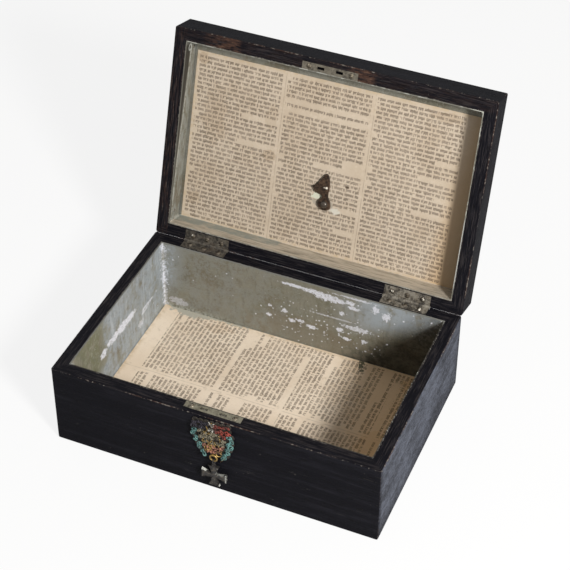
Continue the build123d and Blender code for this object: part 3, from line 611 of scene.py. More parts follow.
        # painted shadow of a gap between the lining and the left rail: a dark band along the rim, widest at
        # the front
        above_gap = b.z - LID_BASE - b.fall(b.y, -0.078, 0.05) * 0.0065
        gap_shadow = b.fall(above_gap + (worn - 0.5) * 0.003, 0.0005, 0.0018)
        b.coat((0.02, 0.018, 0.014), on_left * gap_shadow * 0.92)
        ridge = b.span(above_gap, 0.0026, 0.004, 0.0006)
        b.coat((0.5, 0.52, 0.49), on_left * ridge * b.rise(rag, 0.42, 0.54) * 0.7)
        b.coat((0.045, 0.04, 0.03), on_left * b.rise(b.z, 0.0885, 0.09) * b.rise(worn, 0.45, 0.58) * 0.6)
        tab = b.noise(90.0, 1.0) * 0.001 + ((b.y + 0.07) ** 2 + (b.z - 0.0795) ** 2) ** 0.5
        b.coat((0.42, 0.43, 0.4), on_left * b.span(tab, 0.0022, 0.0036, 0.0004) * 0.8)
        corner = (INNER_X - abs(b.x)).most(INNER_Y - abs(b.y))
        fold = b.fall(corner, 0.001, 0.005) * b.rise(rag, 0.44, 0.6)
        b.coat((0.42, 0.42, 0.38), fold * 0.5)
        on_right = b.rise(b.x, INNER_X - 0.0012, INNER_X - 0.0002)
        bright = on_right * b.span(b.y, 0.01, 0.066, 0.004) * b.fall(b.z, LID_BASE + 0.003, LID_BASE + 0.006)
        b.coat((0.8, 0.82, 0.82), bright * b.rise(rag, 0.22, 0.4))
        edge = b.fall(b.z, LID_BASE + 0.0002, LID_BASE + 0.0008)
        b.coat((0.16, 0.155, 0.13), edge * 0.7)
        b.coat((0.42, 0.42, 0.38), edge * b.rise(mottle, 0.5, 0.6) * 0.7 * (1.0 - on_left))


LID_SPOTS = blots(
    (-112, -60, 5, 4.5, 0.5), (-97, -16, 10, 26, 0.24), (-48, 6, 5, 5, 0.45), (90, -59, 14, 4, 0.35),
    (-108, 58, 6, 6, 0.4), (-50, -25, 5, 12, 0.25),
)
LID_PATCHES = blots((-4.8, 29, 4.6, 2.6), (11.2, 38.5, 4.2, 2.6))
# Brown stains on the floor's paper; those on its right side, in the right wall's shadow, are also painted
# warm bounce light.
FLOOR_STAINS_AND_BOUNCE = blots(
    (105, 64, 13, 12, 0.9), (95, -10, 13, 20, 0.55), (100, 38, 7, 16, 0.35), (-65, 66, 12, 6, 0.22),
    (106, -48, 12, 14, 0.45), (64, -42, 12, 8, 0.3),
)


@dataclass(frozen=True)
class Column:
    """One column of print: from start to end along its lines, between first and last line."""

    start: float
    end: float
    first: float
    last: float


@dataclass(frozen=True)
class PastedPrint:
    """Aged paper printed with unreadable dashes in narrow columns, and glued to the sheet."""

    name: str
    half: Half
    pitch: float
    columns: tuple[Column, ...]
    rules: tuple[float, ...]
    seed: float
    stroke: float = 0.00076
    word: float = 0.0064
    paper: Colour = (0.495, 0.415, 0.325)
    aged: Colour = (0.41, 0.325, 0.235)
    ink: Colour = (0.052, 0.036, 0.024)

    def make(self) -> bpy.types.Material:
        """Makes the paper. Lines run along X in the lid and along Y on the floor."""
        b = Bench(self.name, self.half, self.paper)
        along, across = (b.x, b.y) if self.half is Half.LID else (b.y, b.x)
        wave = b.noise(9.0, 2.0) - 0.5
        ink = self._printed(b, along, across, wave)
        for rule in self.rules:
            thin = b.fall(abs(along - rule + wave * 0.002), 0.0001, 0.00028)
            ink = ink.most(thin * b.rise(b.noise(150.0, 2.0), 0.3, 0.6) * 0.45)
        freckle = b.noise(160.0, 4.0, 0.7)
        rag = b.noise(260.0, 4.0, 0.7)
        b.coat(self.aged, b.rise(b.noise(22.0, 4.0, 0.6), 0.4, 0.7) * 0.6)
        b.coat((0.66, 0.575, 0.465), b.rise(freckle, 0.5, 0.66) * 0.3)
        b.coat((0.36, 0.265, 0.17), b.rise(freckle, 0.58, 0.72) * 0.45)
        b.coat(self.aged, b.rise(b.noise(700.0, 4.0, 0.75), 0.5, 0.66) * 0.4)
        # the stains, with painted shade and bounce light on the shadowed right side of each paper
        stain = self._stain_and_shade_lid if self.half is Half.LID else self._stain_and_shade_floor
        b.coat(self.ink, stain(b, ink, rag, freckle))
        relief = b.noise(45.0, 3.0) * 1.2 + b.noise(1500.0, 3.0, 0.7) * 0.1 + freckle * 0.15
        return b.finish(0.86, relief, depth=0.00045, shine=0.18, strength=0.35)

    def _printed(self, b: Bench, along: Wire, across: Wire, wave: Wire) -> Wire:
        """Prints dashes like the letters and words of lines of text.

        Args:
            b: The material.
            along: The coordinate along the lines.
            across: The coordinate from line to line.
            wave: Noise that bends the lines.

        Returns:
            How dark the ink is.
        """
        line_place = (across + wave * 0.0022) / self.pitch + self.seed
        line, up = line_place.whole(), line_place.rest()
        stroke_place = along / self.stroke + b.dice(line, 3.0) * 7.0
        stroke, in_stroke = stroke_place.whole(), stroke_place.rest()
        word_place = along / self.word + b.dice(line, 9.0) * 5.0
        in_word = word_place.rest()
        gap_at = b.dice(word_place.whole(), line, 10.0) * 0.8
        ink: Number = 0.0
        for number, column in enumerate(self.columns):
            tag = float(number) + self.seed
            closing = b.dice(line, tag, 1.0) + 0.05
            opening = b.dice(line, tag, 2.0)
            blank = b.dice(line, tag, 4.0) > 0.035
            width = column.end - column.start
            short = (closing > 0.14) + (closing < 0.14) * (closing * 5.0 + 0.16)
            start = column.start + (opening < 0.13) * width * 0.055
            stop = column.start + short.least(1.0) * width
            inside = (along > start) * (along < stop) * blank
            inside = inside * (across > column.last) * (across < column.first)
            ink = inside.most(ink)
        blur = (b.noise(2300.0, 2.0) - 0.5) * 0.34
        word = 1.0 - (in_word > gap_at) * (in_word < gap_at + 0.155)
        lot = b.dice(stroke, line, 5.0)
        tall = (b.dice(stroke, line, 7.0) > 0.78) * 0.2
        deep = (b.dice(stroke, line, 8.0) > 0.88) * 0.14
        body_high = b.fall(up + blur * 0.5, tall + 0.66, tall + 0.8)
        body_low = b.rise(up + blur * 0.5, 0.14 - deep, 0.26 - deep)
        strokes = b.fall(abs(in_stroke - 0.42) + blur, 0.2, 0.38) * (lot > 0.08)
        bars = b.span(up, 0.56, 0.7, 0.07) * (lot > 0.45) + b.span(up, 0.2, 0.34, 0.07) * (lot < 0.62)
        mark = strokes.most(bars * 0.85).least(1.0) * body_high * body_low
        faded = b.rise(b.noise(70.0, 4.0, 0.7), 0.3, 0.62) * 0.28 + 0.66
        inky = b.rise(b.noise(900.0, 3.0), 0.58, 0.7) * 0.35
        ink = ink * word * mark * faded
        return (ink - ink * inky).least(1.0)

    def _stain_and_shade_lid(self, b: Bench, ink: Wire, rag: Wire, freckle: Wire) -> Wire:
        """Stains the lid's paper, and paints warm shade where the right rail's shadow falls on it.

        Args:
            b: The material.
            ink: Where the print is.
            rag: Noise that frays the edges.
            freckle: Middling noise.

        Returns:
            The ink with the holes taken out.
        """
        edge = (INNER_X - 0.002 - abs(b.x)).least(b.y + 0.0655).least(INNER_Y - 0.0005 - b.y)
        b.coat((0.44, 0.33, 0.2), b.fall(edge, 0.0, 0.004) * b.rise(rag, 0.4, 0.62) * 0.55)
        for spot in LID_SPOTS:
            b.coat((0.27, 0.18, 0.095), b.blot(b.x, b.y, spot, rag * 0.35 + freckle * 0.65) * 0.7)
        scuff = b.blot(b.x, b.y, Blot(0.002, 0.0345, 0.01, 0.004), rag)
        b.coat((0.3, 0.27, 0.22), scuff * 0.75)
        for spot, tone in zip(LID_PATCHES, ((0.55, 0.57, 0.46), (0.56, 0.54, 0.47))):
            patch = b.blot(b.x, b.y, spot, rag)
            b.coat(tone, patch * 0.85)
            scuff = scuff.most(patch)
        b.coat((0.1, 0.07, 0.05), b.blot(b.x, b.y, Blot(0.0195, 0.016, 0.0017, 0.001), rag))
        # painted shade: the right rail's shadow on the paper, a warm brown along the right side
        b.coat((0.44, 0.3, 0.165), b.rise(b.x - (0.045 - b.y) * 0.12, 0.088, 0.106) * 0.7)
        return ink * (1.0 - scuff)

    def _stain_and_shade_floor(self, b: Bench, ink: Wire, rag: Wire, freckle: Wire) -> Wire:
        """Stains the floor's paper and paints warm bounce light into the right wall's shadow on it, as the
        lid's method does for the lid's.
        """
        edge = (INNER_X - 0.0008 - abs(b.x)).least(INNER_Y - 0.0008 - abs(b.y))
        b.coat((0.46, 0.34, 0.2), b.fall(edge, 0.0, 0.005) * b.rise(rag, 0.38, 0.6) * 0.6)
        # stains, partly painted warm bounce light on the shadowed right side
        for spot in FLOOR_STAINS_AND_BOUNCE:
            b.coat((0.46, 0.265, 0.105), b.blot(b.x, b.y, spot, rag * 0.45 + freckle * 0.55) * 0.75)
        # painted warm bounce light in the right wall's shadow across the floor's right side
        shade = b.rise(b.x + b.y * 0.3 + (freckle - 0.5) * 0.04, 0.048, 0.095)
        b.coat((0.7, 0.49, 0.28), shade * 0.7)
        for band in (0.014, 0.0905):
            blank = b.fall(abs(b.x + (b.y - 0.04) * 0.02 - band), 0.0026, 0.003)
            ink = ink * (1.0 - blank * b.fall(b.y, 0.062, 0.066) * 0.96)
        torn = b.blot(b.x, b.y, Blot(-0.095, 0.077, 0.024, 0.0082), rag)
        torn = torn.most(b.blot(b.x, b.y, Blot(-0.064, 0.0775, 0.026, 0.0042), rag))
        b.coat((0.34, 0.335, 0.285), torn * 0.9)
        notch = b.blot(b.x + (b.y - 0.07) * 0.3, b.y, Blot(0.057, 0.0715, 0.0026, 0.0078), rag)
        b.coat((0.055, 0.06, 0.04), notch * 0.92)
        return ink * ((1.0 - torn) * (1.0 - notch))


@dataclass(frozen=True)
class WornMetal:
    """Metal with three tones, grime, scratches and pits, and painted highlights where it has glints."""

    name: str
    bright: Colour
    dark: Colour
    metallic: float = 0.75
    roughness: float = 0.42
    grime: float = 0.5
    scale: float = 420.0
    relief: float = 0.00012
    stain: Colour = (0.13, 0.105, 0.075)
    stained: float = 0.5
    # the colour and places of painted highlights
    glint: Colour = (0.55, 0.52, 0.45)
    glints: tuple[Blot, ...] = ()
    shine: float = 0.5

    def make(self) -> bpy.types.Material:
        """Makes the metal, with painted highlights where it has glints along X and Z."""
        b = Bench(self.name, base=self.bright)
        cloud = b.noise(self.scale * 0.35, 4.0, 0.65)
        mottle = b.noise(self.scale, 5.0, 0.72)
        stain = b.rise(b.noise(self.scale * 0.55, 5.0, 0.75, 0.4), 0.47, 0.6)
        scratch = b.drawn((300.0, 2600.0, 2600.0), 2.0)
        pits = b.fall(b.cells(self.scale * 2.4), 0.1, 0.3)
        dirty = b.rise(cloud * 0.5 + mottle * 0.5, 0.6 - self.grime * 0.25, 0.72 - self.grime * 0.15)
        b.coat(self.stain, stain * self.stained)
        b.coat(self.dark, dirty)
        b.coat(self.dark, pits * self.grime * 0.8)
        # painted highlights: each glint is a bright spot of colour at a place along X and Z
        for spot in self.glints:
            b.coat(self.glint, b.blot(b.x, b.z, spot, mottle))
        gloss = self.roughness + mottle * 0.22 + dirty * 0.12 + stain * 0.05 - scratch * 0.06
        relief = mottle * 0.6 + scratch * 0.25 - pits * 0.5
        return b.finish(gloss, relief, self.relief, self.shine, metallic=self.metallic)


@dataclass(frozen=True)
class Enamel:
    """Thick glossy enamel over wire, uneven in tone and worn through in places."""

    name: str
    colour: Colour
    shade: Colour
    under: Colour = (0.3, 0.24, 0.13)
    roughness: float = 0.32
    worn: float = 0.3

    def make(self) -> bpy.types.Material:
        """Makes the enamel."""
        b = Bench(self.name, base=self.colour)
        cloud = b.noise(260.0, 3.0, 0.6)
        chips = b.noise(900.0, 4.0, 0.7)
        b.coat(self.shade, b.rise(cloud, 0.4, 0.64))
        b.coat(self.under, b.rise(chips, 0.7 - self.worn * 0.25, 0.76 - self.worn * 0.2) * 0.85)
        return b.finish(self.roughness + chips * 0.2, cloud * 0.5 + chips * 0.5, depth=0.00012, shine=0.3)


@dataclass(frozen=True)
class Place:
    """A point for a stamp, the way its face looks, its turn about that way, and its size."""

    point: Vector
    aim: Vector
    turn: float = 0.0
    size: float = 1.0


class GeometryTree(Graph):
    """A Geometry Nodes tree with named inputs for its sizes."""

    def __init__(self, name: str, sizes: dict[str, float]) -> None:
        """Starts a tree.

        Args:
            name: The tree's name.
            sizes: Its number inputs, with their values.
        """
        group = bpy.data.node_groups.new(name, "GeometryNodeTree")
        super().__init__(group)
        kinds = {"Geometry": "Geometry", **dict.fromkeys(sizes, "Float"), "Material": "Material"}
        for label, kind in kinds.items():
            group.interface.new_socket(label, in_out="INPUT", socket_type="NodeSocket" + kind)
        group.interface.new_socket("Geometry", in_out="OUTPUT", socket_type="NodeSocketGeometry")
        self.sizes = sizes
        self.given = self.node("NodeGroupInput", output="Geometry")

    def size(self, name: str) -> Wire:
        """Gives one of the named inputs."""
        return self.given.other(name)

    def move(self, geometry: Wire, x: Number, y: Number, z: Number) -> Wire:
        """Moves a geometry."""
        sockets = {"Geometry": geometry, "Translation": self.join(x, y, z)}
        return self.node("GeometryNodeTransform", None, sockets)

    def circle(self, radius: Number, steps: int = 8) -> Wire:
        """Makes a circle in the XY plane."""
        return self.node("GeometryNodeCurvePrimitiveCircle", None, {"Resolution": steps, "Radius": radius})

    def hoop(self, radius: Number, thickness: Number, steps: int) -> Wire:
        """Makes a ring of round wire in the XY plane."""
        sockets = {"Curve": self.circle(radius, steps), "Profile Curve": self.circle(thickness)}
        return self.node("GeometryNodeCurveToMesh", None, sockets)

    def together(self, *parts: Wire) -> Wire:
        """Joins geometries."""
        joined = self.node("GeometryNodeJoinGeometry")
        for part in parts:
            self.tree.links.new(part.socket, joined.socket.node.inputs[0])
        return joined

    def close(self, geometry: Wire) -> None:
        """Ends the tree with real meshes, smooth shading and the material."""
        real = self.node("GeometryNodeRealizeInstances", None, {"Geometry": geometry})
        smooth = self.node("GeometryNodeSetShadeSmooth", None, {"Geometry": real, "Shade Smooth": True})
        sockets = {"Geometry": smooth, "Material": self.size("Material")}
        self.end("NodeGroupOutput", self.node("GeometryNodeSetMaterial", None, sockets))

    def run(self, source: bpy.types.Object, material: bpy.types.Material, name: str) -> bpy.types.Object:
        """Runs the tree on an object and keeps the result as a plain mesh.

        Args:
            source: The object that gives the points or the curve. It is removed.
            material: The material of the result.
            name: The result's name.

        Returns:
            The new mesh object.
        """
        modifier = source.modifiers.new("tree", "NODES")
        modifier.node_group = self.tree
        given = {**self.sizes, "Material": material}
        for item in self.tree.interface.items_tree:
            if item.in_out == "INPUT" and item.name in given:
                modifier[item.identifier] = given[item.name]
        source.update_tag()
        return add_object(name, baked(source, name))


def stamp(
    name: str,
    places: Sequence[Place],
    material: bpy.types.Material,
    sizes: dict[str, float],
    shape: Callable[[GeometryTree], Wire],
) -> bpy.types.Object:
    """Sets one shape down on many places with Geometry Nodes.

    Args:
        name: The piece's name.
        places: Where the shapes go. Their Z looks along each place's aim.
        material: The piece's material.
        sizes: The tree's named sizes.
        shape: Adds the shape's nodes, and gives its geometry.

    Returns:
        The piece.
    """
    mesh = bpy.data.meshes.new(name + "_points")
    mesh.from_pydata([tuple(place.point) for place in places], [], [])
    values = {"aim": "FLOAT_VECTOR", "turn": "FLOAT", "size": "FLOAT"}
    # A new attribute moves the others in memory, so all are made before any is filled.
    for label, kind in values.items():
        mesh.attributes.new(label, kind, "POINT")
    aims, turns, scales = (mesh.attributes[label] for label in values)
    for index, place in enumerate(places):
        aims.data[index].vector = place.aim
        turns.data[index].value = place.turn
        scales.data[index].value = place.size
    tree = GeometryTree(name + "_tree", sizes)
    aim, turn, size = (
        tree.node("GeometryNodeInputNamedAttribute", {"data_type": kind}, {"Name": label})
        for label, kind in values.items()
    )
    facing = tree.node("FunctionNodeAlignRotationToVector", {"axis": "Z"}, {"Vector": aim})
    spin = tree.node("FunctionNodeEulerToRotation", None, {0: tree.join(0.0, 0.0, turn)})
    sockets = {"Rotation": facing, "Rotate By": spin}
    both = tree.node("FunctionNodeRotateRotation", {"rotation_space": "LOCAL"}, sockets)
    sockets = {"Points": tree.given, "Instance": shape(tree), "Rotation": both, "Scale": size}
    tree.close(tree.node("GeometryNodeInstanceOnPoints", None, sockets))
    return tree.run(add_object(name + "_points", mesh), material, name)


def add_spline(
    curve: bpy.types.Curve,
    path: Sequence[Sequence[float]],
    kind: str,
    closed: bool,
    steps: int,
) -> None:
    """Adds one path to a curve.

    Args:
        curve: The curve.
        path: The path's points.
        kind: NURBS for a smooth path, or POLY for straight sides.
        closed: Whether the path is a loop.
        steps: How many sides the curve has between two points.
    """
    spline = curve.splines.new(kind)
    spline.points.add(len(path) - 1)
    for knot, point in zip(spline.points, path):
        knot.co = (*point, 1.0)
    spline.order_u, spline.resolution_u = 3, steps
    spline.use_cyclic_u, spline.use_endpoint_u = closed, not closed


def wire_run(
    name: str,
    paths: Sequence[Sequence[Vector]],
    radius: float,
    material: bpy.types.Material,
    closed: bool = False,
) -> bpy.types.Object:
    """Bends round wire along smooth paths with Geometry Nodes.

    Args:
        name: The piece's name.
        paths: The points that each wire follows.
        radius: The wire's radius.
        material: The piece's material.
        closed: Whether each path is a loop.

    Returns:
        The piece.
    """
    curve = bpy.data.curves.new(name + "_path", "CURVE")
    curve.dimensions = "3D"
    for path in paths:
        add_spline(curve, path, "NURBS", closed, 6)
    tree = GeometryTree(name + "_tree", {"Wire Radius": radius})
    section = tree.circle(tree.size("Wire Radius"))
    sockets = {"Curve": tree.given, "Profile Curve": section, "Fill Caps": True}
    tree.close(tree.node("GeometryNodeCurveToMesh", None, sockets))
    return tree.run(add_object(name + "_path", curve), material, name)


def slotted_head(tree: GeometryTree) -> Wire:
    """Adds a countersunk screw head with a slot, its face at Z 0."""
    radius, depth = tree.size("Head Radius"), tree.size("Head Depth")
    sockets = {"Vertices": 36, "Radius Top": radius, "Radius Bottom": radius * 0.72, "Depth": depth}
    cone = tree.move(tree.node("GeometryNodeMeshCone", None, sockets), 0.0, 0.0, 0.0 - depth)
    slot = tree.join(radius * 2.6, tree.size("Slot Width"), tree.size("Slot Depth") * 2.0)
    sockets = {"Mesh 1": cone, "Mesh 2": tree.node("GeometryNodeMeshCube", None, {"Size": slot})}
    return tree.node("GeometryNodeMeshBoolean", {"operation": "DIFFERENCE"}, sockets)


def head_sizes(radius: float, slot: float) -> dict[str, float]:
    """Gives the sizes of a slotted head with a radius and a slot width."""
    return {"Head Radius": radius, "Head Depth": 0.00118, "Slot Width": slot, "Slot Depth": 0.0006}


def seat(half: Half, x: float, y: float, turn: float) -> Place:
    """Gives the place of a screw's head on the body's rim or the lid's, in closed-lid coordinates."""
    if half is Half.BODY:
        return Place(Vector((x, y, BODY_HEIGHT + PROUD)), UP, turn)
    return Place(opened(x, y, LID_BASE - PROUD), LID_TURN @ DOWN, turn)


def dress(frame: dict, material: bpy.types.Material, *nodes: str) -> None:
    """Gives the named CAD nodes a material."""
    for name in nodes:
        mesh = frame["nodes"][name].data
        if not mesh.materials:
            mesh.materials.append(material)
        for index in range(len(mesh.materials)):
            mesh.materials[index] = material


@dataclass
class Studio:
    """The camera, the pale floor and the soft lights."""

    eye: Vector = field(default_factory=lambda: Vector((0.3855, -0.8628, 0.9521)))
    azimuth: float = 22.95
    elevation: float = 38.41
    roll: float = 0.17
    lens: float = 108.57
    sensor: float = 36.0
    shift: float = -0.1404
    floor_reach: float = 6.0
    floor_level: float = -0.0002
    key_aim: Vector = field(default_factory=lambda: Vector((0.0, 0.0, 0.08)))
    key_way: Vector = field(default_factory=lambda: Vector((0.668, -0.49, 0.556)))
    key_distance: float = 1.7
    key_size: float = 0.3
    key_power: float = 40.0
    fill: float = 0.27

    def build(self) -> None:
        """Builds the whole set."""
        self._camera()
        self._floor()
        self._lights()
        bpy.context.scene.view_settings.view_transform = "Standard"

    def _camera(self) -> None:
        """Puts the camera where the photograph was taken."""
        turn, lift, roll = (math.radians(a) for a in (self.azimuth, self.elevation, self.roll))
        ahead = Vector((-math.sin(turn) * math.cos(lift), math.cos(turn) * math.cos(lift), -math.sin(lift)))
        level = ahead.cross(UP).normalized()
        upright = level.cross(ahead)
        right = math.cos(roll) * level + math.sin(roll) * upright
        up = -math.sin(roll) * level + math.cos(roll) * upright
        data = bpy.data.cameras.new("camera")
        data.lens, data.sensor_width, data.shift_y = self.lens, self.sensor, self.shift
        data.clip_start = 0.05
        camera = add_object("camera", data)
        camera.matrix_world = Matrix((
            (right.x, up.x, -ahead.x, self.eye.x),
            (right.y, up.y, -ahead.y, self.eye.y),
            (right.z, up.z, -ahead.z, self.eye.z),
            (0.0, 0.0, 0.0, 1.0),
        ))
        bpy.context.scene.camera = camera

    def _floor(self) -> None:
        """Lays a pale floor that the camera sees nearly white."""
        b = Bench("pale_floor")
        paint = b.node("ShaderNodeBsdfDiffuse", None, {"Color": (0.8, 0.8, 0.8)})
        glow = b.node("ShaderNodeEmission", None, {"Color": (1.0, 1.0, 1.0), "Strength": 1.0})
        seen = b.node("ShaderNodeLightPath", output="Is Camera Ray")
        mixed = b.node("ShaderNodeMixShader", None, {0: seen * 0.86, 1: paint, 2: glow})
        b.end("ShaderNodeOutputMaterial", mixed)
        mesh = bpy.data.meshes.new("floor")
        reach, level = self.floor_reach, self.floor_level
        corners = [(x * reach, y * reach, level) for x, y in ((-1, -1), (1, -1), (1, 1), (-1, 1))]
        mesh.from_pydata(corners, [], [(0, 1, 2, 3)])
        mesh.materials.append(b.material)
        floor = add_object("floor", mesh)

    def _lights(self) -> None:
        """Hangs the key light to the right and fills the rest from all round."""
        world = bpy.data.worlds.new("sky")
        bpy.context.scene.world = world
        world.use_nodes = True
        world.node_tree.nodes.clear()
        sky = Graph(world.node_tree)
        path = sky.node("ShaderNodeLightPath")
        dim = sky.node("ShaderNodeBackground", None, {"Color": (1.0, 0.99, 0.98), "Strength": self.fill})
        white = sky.node("ShaderNodeBackground", None, {"Color": (1.0, 1.0, 1.0), "Strength": 1.0})
        bright = path.most(path.other("Is Glossy Ray")).most(path.other("Is Transmission Ray"))
        sky.end("ShaderNodeOutputWorld", sky.node("ShaderNodeMixShader", None, {0: bright, 1: dim, 2: white}))
        data = bpy.data.lights.new("key", "AREA")
        data.shape, data.size, data.energy = "DISK", self.key_size, self.key_power
        data.color = (1.0, 0.985, 0.96)
        key = add_object("key", data)
        key.location = self.key_aim + self.key_way.normalized() * self.key_distance
        key.rotation_euler = (self.key_aim - key.location).to_track_quat("-Z", "Y").to_euler()


@dataclass
class WoodenBox:
    """The body's four walls and base, and the lid's board and rails."""

    def build(self, frame: dict) -> None:
        """Dresses the wooden nodes, each with the grain along its board."""
        dress(frame, BlackWood("body_long_wood", Half.BODY, Grain.X).make(), "front_wall", "back_wall")
        body_side = BlackWood("body_side_wood", Half.BODY, Grain.Y, dry=1.0).make()
        dress(frame, body_side, "left_wall", "right_wall")
        dress(frame, BlackWood("base_wood", Half.BODY, Grain.X, wear=0.4).make(), "base_board")
        lid_long = BlackWood("lid_long_wood", Half.LID, Grain.X).make()
        dress(frame, lid_long, "lid_top", "lid_front_rail", "lid_back_rail")
        dress(frame, BlackWood("lid_side_wood", Half.LID, Grain.Y).make(), "lid_left_rail", "lid_right_rail")


@dataclass
class Linings:
    """The two sheet-metal trays and the lid's lining nails."""

    def build(self, frame: dict) -> None:
        """Dresses the trays and the nails."""
        dress(frame, TarnishedSheet("body_sheet", Half.BODY).make(), "body_lining")
        lid = TarnishedSheet("lid_sheet", Half.LID, dull=(0.185, 0.18, 0.15), olive=(0.105, 0.097, 0.068))
        dress(frame, lid.make(), "lid_lining")
        iron = WornMetal("nail_iron", (0.2, 0.18, 0.15), (0.05, 0.04, 0.03), roughness=0.55)
        dress(frame, iron.make(), "lining_nails")


@dataclass
class Papers:
    """The printed sheets on the floor and in the lid."""

    lid_columns: tuple[Column, ...] = (
        Column(-0.115, -0.0444, 0.0745, -0.063),
        Column(-0.04, 0.0292, 0.0745, -0.063),
        Column(0.0334, 0.1038, 0.0745, -0.063),
    )
    floor_columns: tuple[Column, ...] = (
        Column(0.0022, 0.0735, 0.115, -0.1035),
        Column(-0.074, -0.003, 0.115, -0.1035),
    )

    def build(self, frame: dict) -> None:
        """Dresses both sheets."""
        # The floor's paper is lighter and the lid's darker partly as painted light: the split makes up for
        # the lid catching more of the key light than the floor.
        lid = PastedPrint("lid_print", Half.LID, 0.00362, self.lid_columns, (-0.0418, 0.032), 0.37)
        dress(frame, lid.make(), "lid_paper")
        floor = PastedPrint(
            "floor_print", Half.BODY, 0.00355, self.floor_columns, (-0.0004,), 2.61,
            paper=(0.735, 0.625, 0.5), aged=(0.615, 0.495, 0.37),
        )
        dress(frame, floor.make(), "floor_paper")


@dataclass
class Hinges:
    """Two butt hinges and their slotted screws."""

    inset: float = 0.085
    spacing: float = 0.0124
    setback: float = 0.0046
    body_turns: tuple[float, ...] = (0.4, 1.2, -0.5, 0.2, 1.5, -0.3)
    lid_turns: tuple[float, ...] = (0.9, -0.2, 0.5, 1.57, 0.3, 1.1)

    def build(self, frame: dict) -> None:
        """Dresses the leaves and pins, and sets slotted heads on the screws."""
        worn = WornMetal(
            "hinge_metal", (0.092, 0.08, 0.062), (0.01, 0.008, 0.006), 0.2, 0.52, 0.74, 520.0, 0.00035,
            stain=(0.052, 0.036, 0.024), stained=0.8,
        )
        pale = WornMetal(
            "hinge_metal_rubbed", (0.215, 0.195, 0.16), (0.016, 0.013, 0.01), 0.2, 0.48, 0.7, 430.0, 0.00035,
            stain=(0.095, 0.076, 0.052), stained=0.8,
        )
        dress(frame, worn.make(), "left_hinge_body_leaf", "left_hinge_lid_leaf", "left_hinge_pin")
        dress(frame, pale.make(), "right_hinge_body_leaf", "right_hinge_lid_leaf", "right_hinge_pin")
        head = WornMetal(
            "hinge_screw", (0.105, 0.086, 0.062), (0.022, 0.017, 0.013), 0.4, 0.46, 0.6, 700.0,
            # painted highlights on four of the screw heads
            glints=blots(
                (-97.8, 76.5, 0.9, 0.9), (72.6, 76.4, 1.1, 1.1, 0.8), (98, 76.6, 1, 1, 0.8),
                (97.6, 71.8, 0.7, 2),
            ),
        ).make()
        sizes = head_sizes(0.00216, 0.00052)
        for half, turns in ((Half.BODY, self.body_turns), (Half.LID, self.lid_turns)):
            places = []
            for number, turn in enumerate(turns):
                side = -1.0 if number < 3 else 1.0
                x = side * self.inset + (number % 3 - 1) * self.spacing
                places.append(seat(half, x, HINGE.y - self.setback, turn))
            piece = stamp(f"{half.value}_hinge_screw_heads", places, head, sizes, slotted_head)
            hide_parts("body_leaf_screws" if half is Half.BODY else "lid_leaf_screws")
            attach(piece, half.value)


@dataclass
class Lock:
    """The lock's plate and the strike plate, their screws, and the works inside."""

    middle: float = -0.0012
    plate_y: float = -0.08
    spread: float = 0.017
    body_turns: tuple[float, ...] = (0.7, -0.4)
    lid_turns: tuple[float, ...] = (1.3, 0.2)

    def build(self, frame: dict) -> None:
        """Dresses the plates and sets slotted heads on the screws."""
        plate = WornMetal(
            "lock_plate_metal", (0.195, 0.182, 0.134), (0.03, 0.026, 0.018), 0.2, 0.48, 0.55, 380.0, 0.00025,
            stain=(0.12, 0.108, 0.074), stained=0.8,
        )
        strike = WornMetal(
            "strike_plate_metal", (0.13, 0.115, 0.088), (0.02, 0.016, 0.012), 0.2, 0.5, 0.55, 380.0, 0.00025,
            stain=(0.08, 0.068, 0.05), stained=0.8,
        )
        works = WornMetal("lock_works_steel", (0.3, 0.28, 0.25), (0.08, 0.065, 0.05), 0.8, 0.38, 0.4, 600.0)
        dress(frame, plate.make(), "lock_plate")
        dress(frame, strike.make(), "strike_plate")
        dress(frame, works.make(), "lock_case", "hook_bolt", "lift_plate")
        head = WornMetal("plate_screw", (0.22, 0.19, 0.14), (0.045, 0.034, 0.025), 0.5, 0.38, 0.55, 800.0)
        metal, sizes = head.make(), head_sizes(0.00206, 0.0005)
        ends = (self.middle - self.spread, self.middle + self.spread)
        for name, half, turns, node, rides in (
            ("lock_screw_heads", Half.BODY, self.body_turns, "lock_screws", "box"),
            ("strike_screw_heads", Half.LID, self.lid_turns, "strike_screws", "lid"),
        ):
            places = [seat(half, x, self.plate_y, turn) for x, turn in zip(ends, turns)]
            piece = stamp(name, places, metal, sizes, slotted_head)
            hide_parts(node)
            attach(piece, rides)


